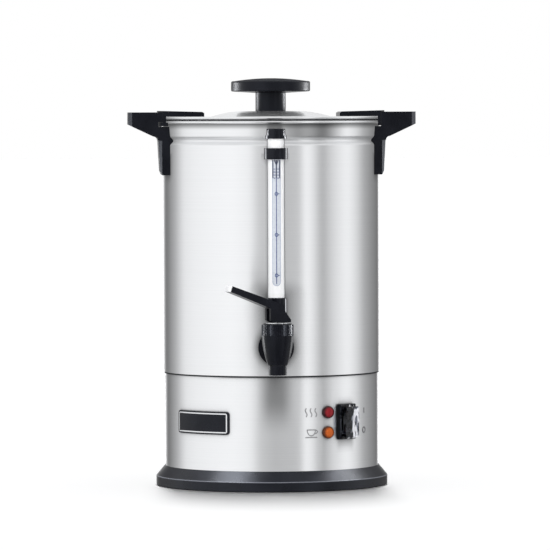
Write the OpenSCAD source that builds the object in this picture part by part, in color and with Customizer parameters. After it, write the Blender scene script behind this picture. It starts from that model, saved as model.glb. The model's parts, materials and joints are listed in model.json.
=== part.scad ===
// Coffee urn: a brewing tank on a heated housing, with a level gauge, a lever tap and a twist-lock lid.
// Millimetres, +Z up, tap towards -Y. The origin is on the urn's axis, on the table.

/* [Tank] */
// Outer diameter of the tank
tank_d = 220; // [200:1:240]
// Thickness of the sheet steel
sheet_t = 1; // [0.8:0.1:1.2]
// Height of the seam between housing and tank
seam_z = 116.5; // [112:0.5:122]
// Height of the tank from the seam to the top of its rim
tank_h = 256.5; // [250:0.5:270]
// Height of the tank floor above the seam
floor_rise = 6; // [5:0.5:8]
// Depth of the pump well below the tank floor
well_depth = 9; // [8:0.5:11]
// Inner diameter of the pump well
well_d = 52; // [48:1:56]
// Middle of the groove, measured down from the rim
groove_drop = 20.2; // [19:0.2:23]
// Height of the groove
groove_h = 10; // [8:0.5:12]
// Depth of the groove
groove_depth = 3; // [2:0.25:3.5]
// How far the collar above the groove flares out
rim_flare = 1.2; // [0.8:0.1:1.8]
// Diameter of the rolled rim
roll_d = 3; // [2.6:0.1:3.4]

/* [Housing and base] */
// Step from the tank in to the housing, on the radius
housing_step = 1.4; // [1.2:0.1:2]
// Width of the flange that carries the tank
flange_w = 8; // [6:1:12]
// How far the base ring stands out from the housing
base_overhang = 9.9; // [8:0.1:14]
// Height of the top of the base ring
base_h = 20.5; // [18:0.5:26]
// Height of the top of the upright band of the base ring
band_h = 10; // [8:0.5:13]
// Thickness of the base ring's lip around the housing
lip_t = 1; // [0.8:0.1:1.6]
// Depth of the slot in the base ring that takes the housing
slot_depth = 8.5; // [6:0.5:10]
// Wall of the base ring inside the housing
base_wall = 3; // [2.5:0.5:4]
// Width of the ledge that the base plate is screwed to
ledge_w = 12; // [10:1:16]
// Thickness of that ledge
ledge_t = 4; // [3:0.5:5]
// Height of the upper face of the base plate
plate_z = 5; // [4.5:0.5:6]
// Width of the rubber foot ring
foot_w = 7; // [5:0.5:8]
// Height of the rubber foot ring
foot_h = 4; // [3:0.5:5]
// How far the foot ring stands below the base ring
foot_proud = 1; // [0.5:0.25:1.5]

/* [Heater] */
// Diameter of the heater plate
heater_d = 132; // [120:2:150]
// Thickness of the heater plate
heater_t = 6; // [4:0.5:8]
// Diameter of the heating element
element_d = 7; // [6:0.5:8]
// Diameter of a thermostat
thermostat_d = 15; // [13:0.5:16]
// Height of a thermostat
thermostat_h = 8; // [6:0.5:10]
// Room on each side of a thermostat, from the element and from the plate's edge
thermostat_gap = 0.75; // [0.5:0.05:1.5]
// Diameter of the tie rod
rod_d = 6; // [5:0.5:8]
// Diameter of a wire
wire_d = 2.4; // [2:0.1:3]

/* [Handles] */
// Width of a handle
handle_w = 74; // [68:1:82]
// How far a handle reaches out from the tank
handle_reach = 36.5; // [32:0.5:44]
// Height of the handle's top above the rim
handle_rise = 8.8; // [8:0.2:10]
// Height of the handle from the top to the foot of its leg
handle_drop = 64; // [58:1:72]
// Height of the handle's outer edge
tip_h = 12.3; // [10:0.1:14]
// Drop of the underside from the top where it meets the leg
root_h = 24.8; // [23:0.2:27]
// Thickness of the leg, from the tank out
leg_t = 6; // [5:0.25:7]
// Chamfer on the handle's upright edges
handle_chamfer = 4; // [2:0.5:5]
// Wall of the handle's hollow
handle_wall = 5; // [4:0.5:6]

/* [Lid] */
// Thickness of the lid's seal
seal_t = 0.8; // [0.6:0.1:1.2]
// Diameter of the lid's rolled edge
lid_roll_d = 2.8; // [2.4:0.1:3.2]
// Radius where the lid starts to rise
dome_foot_r = 62; // [58:1:66]
// Radius of the raised platform
dome_top_r = 26; // [24:1:34]
// Height of the raised platform above the flange
dome_h = 5.6; // [4:0.2:8]
// Depth of the skirt that centres the lid in the tank
skirt_h = 11; // [8:0.5:12]
// Diameter of the knob
knob_d = 81; // [70:1:90]
// Height of the knob
knob_h = 33.6; // [30:0.2:38]
// Diameter of the knob's stem
stem_d = 31; // [26:1:36]
// Thickness of the knob's disc at its middle
knob_disc_h = 15.1; // [13:0.1:17]
// Width of a lid tab
tab_w = 72; // [64:1:80]
// Distance of a tab's inner edge from the axis
tab_inner = 69; // [68:1:74]
// Height of a tab above the lid
tab_h = 6.1; // [5:0.1:7]
// Thickness of a tab's wall outside the rim
tab_wall = 2.9; // [2.4:0.1:3.2]
// Height of a tab's tongue
tongue_h = 3.6; // [3:0.1:4]
// How far the tongue reaches out from the tab's wall
tongue_reach = 4.4; // [4:0.1:6]
// Length of the tongue along the rim
tongue_l = 4; // [3:0.5:5]
// Angle that the lid turns to lock
lock_angle = 9; // [7:0.5:10]

/* [Gauge] */
// Distance of the gauge's axis from the tank
gauge_off = 14; // [13.5:0.25:16]
// Outer diameter of the gauge tube
tube_d = 18; // [16:0.5:18.5]
// Bore of the gauge tube
tube_bore = 11; // [9:0.5:12]
// Height of the top of the tube below the rim
tube_drop = 18; // [16:0.5:20]
// Height of the gauge cap above the tube
cap_h = 10; // [8:0.5:11]
// Diameter of the gauge cap
cap_d = 19; // [18:0.5:20]
// Height of the collar
collar_h = 11.2; // [9:0.2:12]
// Diameter of the collar
collar_d = 24; // [23:0.5:25]
// Distance from the rim down to the top of the collar
collar_drop = 27.4; // [26.6:0.2:30]
// Diameter of the socket under the tube
socket_d = 21.7; // [21:0.1:22.5]
// Depth of the socket around the tube
socket_depth = 10.5; // [9:0.5:14]
// Width of the scale strip
scale_w = 8.4; // [6:0.2:10]

/* [Tap] */
// Height of the tap's shank above the seam
shank_rise = 29; // [27:0.5:31]
// Outer diameter of the shank
shank_d = 16; // [15:0.5:17]
// Bore of the shank
shank_bore = 10; // [8:0.5:11]
// Diameter of the flange on the tank
tap_flange_d = 35.8; // [33:0.2:38]
// Thickness of the rubber seals at the tank wall
tap_seal_t = 1.5; // [1:0.1:2]
// Distance of the flange's front face from the tank
tap_flange_off = 6; // [5.5:0.1:7]
// Length of the gauge tee along the shank
tee_l = 16; // [15:0.5:17]
// Distance of the tap's axis from the tank
tap_off = 40; // [39:0.5:44]
// Height of the top of the tap's bulb above the shank
bulb_rise = 13.8; // [13:0.1:15]
// Diameter of the bulb at its top
bulb_d = 31.4; // [30:0.2:32]
// Height of the bulb
bulb_h = 29.3; // [28:0.1:31]
// Outer diameter of the spout
spout_d = 18; // [16:0.5:19]
// Bore of the spout
spout_bore = 12; // [10:0.2:13]
// Length of the spout below the bulb
spout_l = 10.4; // [8:0.2:11]
// Bore of the valve chamber
chamber_d = 21; // [20:0.5:22]
// Depth of the valve seat below the shank's axis
seat_drop = 5.5; // [5:0.25:6]
// Diameter of the bonnet
bonnet_d = 32; // [31:0.2:33]
// Height of the bonnet
bonnet_h = 11.8; // [11:0.2:13]
// Thickness of the bonnet's top
bonnet_top_t = 4; // [3:0.5:5]
// Diameter of the valve stem
valve_d = 6; // [5:0.25:6.5]
// Height of the lever's pivot above its heel
pivot_h = 9; // [8:0.25:10]
// Lift of the stem for each radian of the lever
lift_per_rad = 4.5; // [3.5:0.1:5]
// Angle that the lever is pressed down
press_angle = 35; // [25:1:40]
// Slope of the lever's arm
arm_angle = 19.3; // [15:0.1:22]
// Length of the lever from its pivot to its tip
lever_l = 54; // [46:1:62]
// Angle that the lever is turned from the side to the front
lever_turn = 22; // [0:1:45]
// Width of the lever
lever_w = 14; // [13:0.5:15]
// Thickness of the lever's arm at its tip
arm_t = 6; // [5:0.1:6.5]
// Thickness of the lever's arm at its root
arm_root_t = 7.9; // [7:0.1:8.5]

/* [Front panel] */
// Angle of the lamps from the front
lamp_angle = 29; // [26:0.5:31]
// Diameter of a lamp's lens
lens_d = 12.5; // [11:0.5:14]
// Height of the middle of the panel
panel_z = 69; // [62:0.5:76]
// Distance between the two lamps
lamp_pitch = 20.4; // [18:0.2:24]
// Angle of the switch from the front
switch_angle = 41; // [40.5:0.5:46]
// Width of the switch's bezel
bezel_w = 21; // [20.5:0.5:24]
// Height of the switch's bezel
bezel_l = 35.5; // [34:0.5:38]
// How far the bezel stands out
bezel_proud = 3.5; // [3:0.25:5]
// Width of the rocker
rocker_w = 14; // [12:0.5:15]
// Length of the rocker
rocker_l = 23; // [21:0.5:24]
// Angle that the rocker tilts to either side
rocker_tilt = 8; // [5:0.5:9]
// How far the clear boot stands out from the bezel
boot_h = 7; // [6.6:0.1:9]
// Wall of the clear boot
boot_wall = 0.9; // [0.7:0.1:1]
// Angle of the badge from the front
badge_angle = -43.5; // [-50:0.5:-40]
// Width of the badge
badge_w = 68; // [60:1:72]
// Height of the badge
badge_l = 23; // [20:0.5:26]
// Thickness of the badge
badge_t = 1.6; // [1:0.1:2]

/* [Power inlet] */
// Height of the power inlet
inlet_z = 48; // [44:1:60]
// Width of the inlet's socket
inlet_w = 24; // [22:0.5:25]
// Height of the inlet's socket
inlet_l = 16; // [15:0.5:17]
// Depth of the inlet's socket
inlet_depth = 17; // [15:0.5:18]
// Wall of the inlet around its socket
inlet_wall = 2; // [1.5:0.25:2.5]

/* [Percolator] */
// Outer diameter of the pump tube
pump_d = 12; // [10:0.5:14]
// Height of the basket's floor above the tank floor
basket_rise = 137; // [120:1:150]
// Diameter of the coffee basket
basket_d = 116; // [100:1:124]
// Height of the coffee basket
basket_h = 80; // [70:1:84]
// Thickness of the percolator's sheet
basket_t = 0.8; // [0.6:0.1:1]

/* [Clearances] */
// Gap between fixed pieces that fit into each other
fit_gap = 0.1; // [0.05:0.05:0.15]
// Gap between pieces that move past each other
run_gap = 0.3; // [0.25:0.05:0.4]
// Radial clearance of a pin or a stem in its bore
pin_gap = 0.06; // [0.03:0.01:0.09]
// Gap between the lid's skirt and the tank
skirt_gap = 1; // [0.6:0.1:1.4]

/* [Hidden] */
$fn = 96;
wall_fn = 360;
cut = 1;
through = 10;
tank_r = tank_d / 2;
rim_z = seam_z + tank_h;
floor_z = seam_z + floor_rise;
floor_top = floor_z + sheet_t;
groove_z = rim_z - groove_drop;
rim_in = tank_r + rim_flare - sheet_t;
rim_out = rim_in + roll_d;
well_r = well_d / 2;
well_z = floor_z - well_depth;

housing_r = tank_r - housing_step;
slot_z = base_h - slot_depth;
base_r = housing_r + base_overhang;
base_in = housing_r - sheet_t - fit_gap - base_wall;
ledge_in = base_in - ledge_w;
plate_inset = 2;
plate_r = base_in - plate_inset;
foot_r = (plate_r + base_r) / 2;
screw_r = 1.5;
screw_ring_r = (ledge_in + plate_r) / 2;
screw_head_r = 3;
screw_head_h = 1.8;
base_screw_n = 4;
base_screw_l = ledge_t + sheet_t;
vent_l = 18;
vent_w = 4;
vent_r = plate_r * 0.6;

heater_z = floor_z - heater_t;
element_r = heater_d / 2 - thermostat_d - 2 * thermostat_gap - element_d / 2;
element_z = heater_z - element_d / 2 - fit_gap;
element_gap_angle = 30;
element_pin_l = 16;
element_pin_angle = 4;
thermostat_r = heater_d / 2 - thermostat_gap - thermostat_d / 2;
thermostat_z = heater_z - thermostat_h;
warm_angle = -20;
cutout_angle = 200;
lead_pull = 25;
blade_w = 6.3;
blade_t = 0.8;
blade_l = 9;
rod_nut_d = rod_d * 2;
rod_nut_h = 3;
rod_end = plate_z - sheet_t - rod_nut_h;

handle_top = rim_z + handle_rise;
handle_tip = tank_r + handle_reach;
handle_foot = handle_top - handle_drop;
leg_r = tank_r + leg_t;
handle_fillet = 4;
root_r = leg_r + handle_fillet;
leg_taper = 2;
tab_in = rim_out + run_gap + fit_gap;
tab_out = tab_in + tab_wall;
handle_in = tab_out + run_gap + 2 * fit_gap;
tongue_out = tab_out + tongue_reach;
tongue_drop = 5.3;
tongue_z = rim_z - tongue_drop;
tongue_x = handle_w / 2 + run_gap;
slot_lead = 5.5;
handle_screw_r = 2;
handle_skin = 0.8;
handle_screw_depth = leg_t - leg_taper - run_gap - handle_skin;
handle_screw_head_h = 2.4;
handle_screw_rise = 9;
handle_screw_pitch = 13;
handle_screw_low = handle_foot + handle_screw_rise;
handle_screw_zs = [handle_screw_low, handle_screw_low + handle_screw_pitch];
washer_t = 1.2;
washer_r = 5;

lid_z = rim_z + 2 * run_gap + seal_t;
lid_top = lid_z + lid_roll_d;
lid_under = lid_top - sheet_t;
platform_z = lid_top + dome_h;
skirt_r = tank_r - sheet_t - skirt_gap;
skirt_z = rim_z - skirt_h + sheet_t;
knob_r = knob_d / 2;
knob_top = platform_z + knob_h;
knob_under = knob_top - knob_disc_h;
knob_screw_r = 2;
knob_screw_l = 12;
knob_screw_head_r = 5;
knob_screw_head_h = 2.6;
knob_hollow_h = 14;
tab_top = lid_top + tab_h;
tab_screw_inset = 14;
tab_screw_x = tab_w / 2 - tab_screw_inset;
tab_screw_margin = 12.8;
tab_screw_ring = skirt_r - tab_screw_margin;
tab_screw_y = sqrt(tab_screw_ring * tab_screw_ring - tab_screw_x * tab_screw_x);
tab_screw_l = 4;

gauge_y = -(tank_r + gauge_off);
tube_top = rim_z - tube_drop;
shank_z = seam_z + shank_rise;
tap_y = -(tank_r + tap_off);
bulb_top = shank_z + bulb_rise;
bulb_foot = bulb_top - bulb_h;
spout_z = bulb_foot - spout_l;
seat_z = shank_z - seat_drop;
bonnet_z = bulb_top;
bonnet_top = bonnet_z + bonnet_h;
bonnet_under = bonnet_top - bonnet_top_t;
neck_wall = 2.2;
neck_r = chamber_d / 2 + neck_wall;
neck_top = bonnet_under - fit_gap;
tee_back = -(tank_r + tap_flange_off);
tee_front = tee_back - tee_l;
tee_r = 10.5;
riser_r = 7.4;
socket_lift = 2.4;
socket_z = bonnet_top + socket_lift;
socket_base_h = 10;
socket_floor = socket_z + socket_base_h;
gauge_seal_t = 2;
tube_z = socket_floor + gauge_seal_t;
socket_top = tube_z + socket_depth;
collar_z = rim_z - collar_drop - collar_h;
scale_margin = 3;
scale_top = collar_z - fit_gap;
scale_foot = socket_top + 4 * scale_margin;
scale_t = 0.2;
shank_tip_gap = 1.2;
shank_tip = tap_y + chamber_d / 2 + shank_tip_gap;
seal_pad = 2;
nut_face = -(tank_r - sheet_t - tap_seal_t - seal_pad);
shank_over = 10;
shank_in = nut_face + shank_over;
gauge_port_r = 3;
seal_inset = 3;
nut_h = 6;
nut_af = 26;

lever_washer_t = 1;
pivot_z = bonnet_top + lever_washer_t + run_gap + pivot_h;
pivot_pin_r = 1.5;
stem_over = 3.4;
bulb_lip = 1;
seat_cup_h = 5;
seat_cup_floor = 2;
seat_cup_lip = 0.6;
stem_collar_h = 1.5;
stem_collar_r = 8;
spring_foot = seat_z + seat_cup_h + stem_collar_h;
spring_wire = 1;
spring_r = 6;
spring_turns = 5;
valve_r = valve_d / 2;
arm_slope = tan(arm_angle);
heel_back = 11.6;

lamp_zs = [panel_z + lamp_pitch / 2, panel_z - lamp_pitch / 2];
lens_r = lens_d / 2;
lens_lip = 1.2;
holder_r = lens_r - lens_lip;
holder_l = 16;
holder_grip = 2;
pocket_gap = 1.3;
pocket_l = rocker_l + 2 * pocket_gap;
switch_wall = 1.5;
switch_w = rocker_w + 2 * run_gap + 2 * switch_wall;
switch_l = pocket_l + 2 * switch_wall;
switch_depth = 24;
pocket_depth = 9;
rocker_pivot = 0.5;
rocker_rise = 1;
rocker_crown = bezel_proud + rocker_rise;
switch_pin_r = 1.2;
inlet_case_w = inlet_w + 2 * inlet_wall;
inlet_case_l = inlet_l + 2 * inlet_wall;
inlet_ear = 13;
inlet_brim = 4;
inlet_flange_w = inlet_w + 2 * inlet_ear;
inlet_flange_l = inlet_l + 2 * inlet_brim;
inlet_proud = 3;
inlet_screw_off = 8;
inlet_screw_x = inlet_w / 2 + inlet_screw_off;
inlet_floor = 6;
inlet_back = inlet_depth - inlet_proud + inlet_floor;
inlet_pin_w = 2;
inlet_pin_l = 4;
inlet_pin_x = 7;
inlet_pin_z = 2;
inlet_pins_at = [[-inlet_pin_x, -inlet_pin_z], [inlet_pin_x, -inlet_pin_z], [0, inlet_pin_z]];
inlet_tail = 8;
inlet_pin_drop = 6;
badge_drop = 0.5;
badge_z = panel_z - badge_drop;
badge_corner = 3;
frame_inset = 1.5;
frame_line = 1.2;
frame_t = 0.3;

pump_r = pump_d / 2;
pump_wall = 1.2;
pump_bore = pump_r - pump_wall;
bell_gap = 2;
bell_r = well_r - bell_gap;
bell_h = 22;
pump_z = well_z + sheet_t + run_gap;
basket_z = floor_top + basket_rise;
basket_top = basket_z + basket_h;
basket_r = basket_d / 2;
sleeve_r = pump_r + run_gap;
spreader_h = 3;
pump_over = 12;
pump_top = basket_top + pump_over;

// Points on an arc, for profiles
function arc(c, r, from, to, n) =
    [for (i = [0:n]) let (a = from + (to - from) * i / n) c + r * [cos(a), sin(a)]];

// Rises from 0 to 1 with level ends
function ease(t) = (1 - cos(180 * t)) / 2;

// Outline of the tank's outer face, from the seam up to the rim, moved out by a gap
function tank_line(gap) = concat(
    [[tank_r + gap, seam_z]],
    [for (i = [0:12]) let (t = i / 12)
        [tank_r + gap - groove_depth * (1 - cos(360 * t)) / 2, groove_z + groove_h * (t - 0.5)]],
    [[tank_r + gap + rim_flare, rim_z - roll_d / 2]]);

// Upright rod between two heights, finer where it is as wide as a wall
module rod(r, z0, z1) {
    translate([0, 0, z0]) cylinder(h = z1 - z0, r = r, $fn = r > housing_r / 2 ? wall_fn : $fn);
}

// Ring or tube between two heights
module tube(r_in, r_out, z0, z1) {
    difference() {
        rod(r_out, z0, z1);
        rod(r_in, z0 - cut, z1 + cut);
    }
}

// Rod along -Y, from one distance behind the front to another, at a height
module rod_y(r, y0, y1, z) {
    translate([0, y0, z]) rotate([90, 0, 0]) cylinder(h = y0 - y1, r = r);
}

// Turns what faces the front to an angle round the urn
module at_angle(a) {
    rotate([0, 0, a]) children();
}

// Carries a piece drawn at the origin, facing -Y, to a round wall
module on_wall(a, r, z) {
    rotate([0, 0, a]) translate([0, -r, z]) children();
}

// Block centred on x and z, between two depths along -Y
module block(w, l, y0, y1) {
    translate([-w / 2, -y1, -l / 2]) cube([w, y1 - y0, l]);
}

// Plate with an outline of distance from the axis and height, centred across the front
module side_plate(w) {
    rotate([0, 0, -90]) rotate([90, 0, 0]) linear_extrude(w, center = true) children();
}

// Flat outline with rounded corners
module round_rect(w, l, r) {
    square([w - 2 * r, l], center = true);
    square([w, l - 2 * r], center = true);
    for (x = [-1, 1], y = [-1, 1]) translate([x * (w / 2 - r), y * (l / 2 - r)]) circle(r);
}

// Screw with its head below the origin and its shank up
module screw(r, l, head_r, head_h) {
    translate([0, 0, -head_h]) {
        cylinder(h = head_h + l, r = r);
        cylinder(h = head_h, r = head_r);
    }
}

// Repeats at equal angles round the axis, at a distance from it
module ring_of(n, r, start = 0) {
    for (i = [0:n - 1]) rotate([0, 0, start + 360 * i / n]) translate([r, 0, 0]) children();
}

// Base

module foot_ring() {
    color("#303030") tube(foot_r - foot_w / 2, foot_r + foot_w / 2, 0, foot_h);
}

module base_ring() {
    foot_gap = foot_w / 2 + fit_gap;
    color("#1c1c1e") difference() {
        rotate_extrude() polygon([
            [base_r, foot_proud], [base_r, band_h],
            [housing_r + fit_gap + lip_t, base_h], [housing_r + fit_gap, base_h],
            [housing_r + fit_gap, slot_z], [housing_r - sheet_t - fit_gap, slot_z],
            [housing_r - sheet_t - fit_gap, base_h], [base_in, base_h],
            [base_in, plate_z + ledge_t], [ledge_in, plate_z + ledge_t], [ledge_in, plate_z],
            [plate_r + fit_gap, plate_z], [plate_r + fit_gap, foot_proud],
            [foot_r - foot_gap, foot_proud], [foot_r - foot_gap, foot_h],
            [foot_r + foot_gap, foot_h], [foot_r + foot_gap, foot_proud]
        ]);
        ring_of(base_screw_n, screw_ring_r, 45)
            rod(screw_r + fit_gap, plate_z - cut, plate_z + ledge_t + cut);
    }
}

module base_plate() {
    vent_n = 12;
    color("#b8babd") difference() {
        rod(plate_r, plate_z - sheet_t, plate_z);
        rod(rod_d / 2 + fit_gap, plate_z - sheet_t - cut, plate_z + cut);
        ring_of(base_screw_n, screw_ring_r, 45)
            rod(screw_r + fit_gap, plate_z - sheet_t - cut, plate_z + cut);
        ring_of(vent_n, vent_r) translate([0, 0, plate_z - sheet_t / 2])
            cube([vent_l, vent_w, 3 * sheet_t], true);
    }
}

module base_screws() {
    color("#9a9ca0") ring_of(base_screw_n, screw_ring_r, 45) translate([0, 0, plate_z - sheet_t])
        screw(screw_r, base_screw_l, screw_head_r, screw_head_h);
}

module tie_rod() {
    color("#a9abb0") rod(rod_d / 2, rod_end, well_z);
}

module tie_nut() {
    color("#a9abb0") difference() {
        translate([0, 0, rod_end]) cylinder(h = rod_nut_h, d = rod_nut_d, $fn = 6);
        rod(rod_d / 2 + fit_gap, rod_end - cut, rod_end + rod_nut_h + cut);
    }
}

// Body

module housing() {
    color("#c9cbce") difference() {
        rotate_extrude() polygon([
            [housing_r, slot_z], [housing_r, floor_z], [housing_r - flange_w, floor_z],
            [housing_r - flange_w, floor_z - sheet_t], [housing_r - sheet_t, floor_z - sheet_t],
            [housing_r - sheet_t, slot_z]
        ]);
        on_wall(switch_angle, housing_r, panel_z)
            block(switch_w + 2 * fit_gap, switch_l + 2 * fit_gap, -through, through);
        for (z = lamp_zs) at_angle(lamp_angle)
            rod_y(holder_r + fit_gap, 2 * through - housing_r, -housing_r - cut, z);
        on_wall(180, housing_r, inlet_z) {
            block(inlet_case_w + 2 * fit_gap, inlet_case_l + 2 * fit_gap, -through, through);
            for (x = [-1, 1]) translate([x * inlet_screw_x, 0, 0])
                rod_y(screw_r + fit_gap, through, -through, 0);
        }
    }
}

module tank() {
    outer = tank_line(0);
    n = len(outer);
    inner = [for (i = [n - 1:-1:0]) outer[i] - [sheet_t, 0]];
    roll_start = -acos(2 * sheet_t / roll_d - 1);
    roll = arc([rim_in + roll_d / 2, rim_z - roll_d / 2], roll_d / 2, roll_start, 180, 14);
    color("#d3d5d8") difference() {
        rotate_extrude() union() {
            polygon(concat([for (i = [0:n - 2]) outer[i]], roll, [for (i = [1:n - 1]) inner[i]]));
            polygon([
                [tank_r - sheet_t / 2, floor_z], [tank_r - sheet_t / 2, floor_top], [well_r, floor_top],
                [well_r, well_z + sheet_t], [0, well_z + sheet_t], [0, well_z],
                [well_r + sheet_t, well_z], [well_r + sheet_t, floor_z]
            ]);
        }
        rod_y(shank_d / 2 + fit_gap, 0, -tank_r - through, shank_z);
        rod_y(screw_r + fit_gap, 0, -tank_r - through, collar_z + collar_h / 2);
        for (a = [-90, 90], z = handle_screw_zs) at_angle(a)
            rod_y(handle_screw_r + fit_gap, 0, -tank_r - through, z);
    }
}

// Heater compartment

module heater_plate() {
    color("#b4b7ba") tube(well_r + sheet_t + fit_gap, heater_d / 2, heater_z, floor_z);
}

module heater_element() {
    color("#6d6f72") rotate([0, 0, 90 + element_gap_angle / 2]) {
        rotate_extrude(angle = 360 - element_gap_angle)
            translate([element_r, element_z]) circle(element_d / 2);
        for (a = [element_pin_angle, -element_gap_angle - element_pin_angle])
            rotate([0, 0, a]) translate([element_r, 0, element_z - element_pin_l])
            cylinder(h = element_pin_l, r = element_d / 4);
    }
}

// Disc thermostat under the heater plate, with two blades down
module thermostat(a) {
    rotate([0, 0, a]) translate([thermostat_r, 0, 0]) {
        rod(thermostat_d / 2, thermostat_z, heater_z);
        for (x = [-1, 1]) translate([0, x * thermostat_d / 4, thermostat_z - blade_l / 2])
            cube([blade_w, blade_t, blade_l + cut], true);
    }
}

module warm_thermostat() {
    color("#e4e0d2") thermostat(warm_angle);
}

module thermal_cutout() {
    color("#8d5a3c") thermostat(cutout_angle);
}

// Point on a smooth lead that leaves one end along a and reaches the other along b
function lead_point(p, a, q, b, t) =
    let (s = 1 - t) s * s * s * p + 3 * s * s * t * (p + a) + 3 * s * t * t * (q + b) + t * t * t * q;

// Lead swept along that curve, with its rings square to the curve
module lead(p, a, q, b) {
    rings = 18;
    sides = 8;
    aside = [0.36, 0.48, 0.8];
    line = [for (i = [0:rings]) lead_point(p, a, q, b, i / rings)];
    along = [for (i = [0:rings])
        i == 0 ? a : i == rings ? -b : line[i + 1] - line[i - 1]];
    pts = [for (i = [0:rings])
        let (t = along[i] / norm(along[i]), s = cross(t, aside), u = s / norm(s), v = cross(t, u))
        for (j = [0:sides - 1]) let (b = 360 * j / sides) line[i] + wire_d / 2 * (cos(b) * u + sin(b) * v)];
    quads = [for (i = [0:rings - 1], j = [0:sides - 1])
        let (k = (j + 1) % sides, c = i * sides)
        each [[c + j, c + sides + j, c + sides + k], [c + j, c + sides + k, c + k]]];
    last = rings * sides;
    polyhedron(pts, concat(quads,
        [for (j = [1:sides - 2]) [0, j, j + 1]],
        [for (j = [1:sides - 2]) [last, last + j + 1, last + j]]));
}

// Places where the leads start and end
function turned(p, a) = [p[0] * cos(a) - p[1] * sin(a), p[0] * sin(a) + p[1] * cos(a), p[2]];
function blade_end(a, side) =
    turned([thermostat_r, side * thermostat_d / 4, thermostat_z - blade_l - cut / 2], a);
function element_end(side) =
    let (a = element_gap_angle / 2 + element_pin_angle)
    turned([element_r, 0, element_z - element_pin_l], 90 + side * a);
function switch_end(side) =
    turned([0, -housing_r + switch_depth + blade_l, panel_z + side * switch_l / 4], switch_angle);
function inlet_end(i) =
    [-inlet_pins_at[i][0], housing_r - inlet_back - inlet_tail, inlet_z + inlet_pins_at[i][1]];

module wiring() {
    inward = turned([0, lead_pull, 0], switch_angle);
    down = [0, 0, -lead_pull];
    forward = [0, -lead_pull, 0];
    color("#a03a2c") {
        lead(inlet_end(0), forward, switch_end(-1), inward);
        lead(switch_end(1), inward, blade_end(warm_angle, -1), down);
        lead(blade_end(warm_angle, 1), down, element_end(-1), down);
        lead(inlet_end(1), forward, blade_end(cutout_angle, -1), 2 * down);
        lead(blade_end(cutout_angle, 1), down, element_end(1), 2 * down);
    }
}

// Handles

// Handle facing the front, with the mouth of its tongue slot towards +x
module handle() {
    half = handle_w / 2;
    soft = handle_chamfer;
    under = handle_top - root_h;
    core = tank_r - 2 * through;
    color("#1d1d20") difference() {
        union() {
            intersection() {
                side_plate(handle_w) polygon(concat(
                    [[core, handle_top], [handle_tip, handle_top], [handle_tip, handle_top - tip_h],
                        [root_r, under]],
                    arc([root_r, under - handle_fillet], handle_fillet, 90, 180, 6),
                    [[core, under - handle_fillet]]));
                linear_extrude(handle_top + cut) polygon([
                    [-half, 0], [-half, -handle_tip + soft], [-half + soft, -handle_tip],
                    [half - soft, -handle_tip], [half, -handle_tip + soft], [half, 0]
                ]);
            }
            intersection() {
                side_plate(handle_w) polygon([
                    [core, under], [leg_r, under], [leg_r - leg_taper, handle_foot + 2 * leg_taper],
                    [leg_r - 2 * leg_taper, handle_foot], [core, handle_foot]
                ]);
                linear_extrude(handle_top) polygon([
                    [-half, 0], [-half, -leg_r + soft], [-half + soft, -leg_r],
                    [half - soft, -leg_r], [half, -leg_r + soft], [half, 0]
                ]);
            }
        }
        rotate_extrude() union() {
            polygon(concat([[0, seam_z]], tank_line(2 * fit_gap), [[0, rim_z - roll_d / 2]]));
            polygon([
                [0, tongue_z - 2 * run_gap], [handle_in, tongue_z - 2 * run_gap],
                [handle_in, handle_top + cut], [0, handle_top + cut]
            ]);
        }
        translate([0, -handle_in - handle_wall, handle_top - handle_wall - root_h])
            translate([-half + handle_wall, -(handle_tip - handle_in - 2 * handle_wall), -root_h])
            cube([handle_w - 2 * handle_wall, handle_tip - handle_in - 2 * handle_wall, 2 * root_h]);
        rotate([0, 0, -90]) rotate([0, 0, asin(half / tongue_out) - lock_angle - slot_lead])
            rotate_extrude(angle = lock_angle + 2 * slot_lead)
            translate([handle_in - cut, tongue_z - 2 * run_gap])
            square([tongue_out + 2 * run_gap - handle_in + cut, tongue_h + 4 * run_gap]);
        for (z = handle_screw_zs)
            rod_y(handle_screw_r + fit_gap, 0, -tank_r - handle_screw_depth - run_gap, z);
    }
}

module handle_left() {
    at_angle(-90) handle();
}

module handle_right() {
    at_angle(90) handle();
}

module handle_screws() {
    head = tank_r - sheet_t - washer_t;
    color("#b5b7ba") for (a = [-90, 90], z = handle_screw_zs) at_angle(a)
        translate([0, -head, z]) rotate([90, 0, 0])
        screw(handle_screw_r, tank_r + handle_screw_depth - head, 2 * handle_screw_r, handle_screw_head_h);
}

module handle_washers() {
    color("#e6e6e2") for (a = [-90, 90], z = handle_screw_zs) at_angle(a) intersection() {
        difference() {
            rod_y(washer_r, -(tank_r - sheet_t - washer_t), -tank_r - through, z);
            rod_y(handle_screw_r + fit_gap, 0, -tank_r - 2 * through, z);
        }
        rod(tank_r - sheet_t, handle_foot, rim_z);
    }
}

// Level gauge

module gauge_tube() {
    color("#dfe8ee") translate([0, gauge_y, 0]) tube(tube_bore / 2, tube_d / 2, tube_z, tube_top);
}

module gauge_scale() {
    color("#c9d6e6") translate([0, gauge_y, 0]) intersection() {
        tube(tube_d / 2, tube_d / 2 + scale_t, scale_foot, scale_top);
        translate([0, 0, scale_foot]) rotate([90, 0, 0]) linear_extrude(tube_d) {
            translate([0, scale_w / 2]) circle(scale_w / 2);
            translate([-scale_w / 2, scale_w / 2]) square([scale_w, scale_top - scale_foot]);
        }
    }
}

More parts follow.
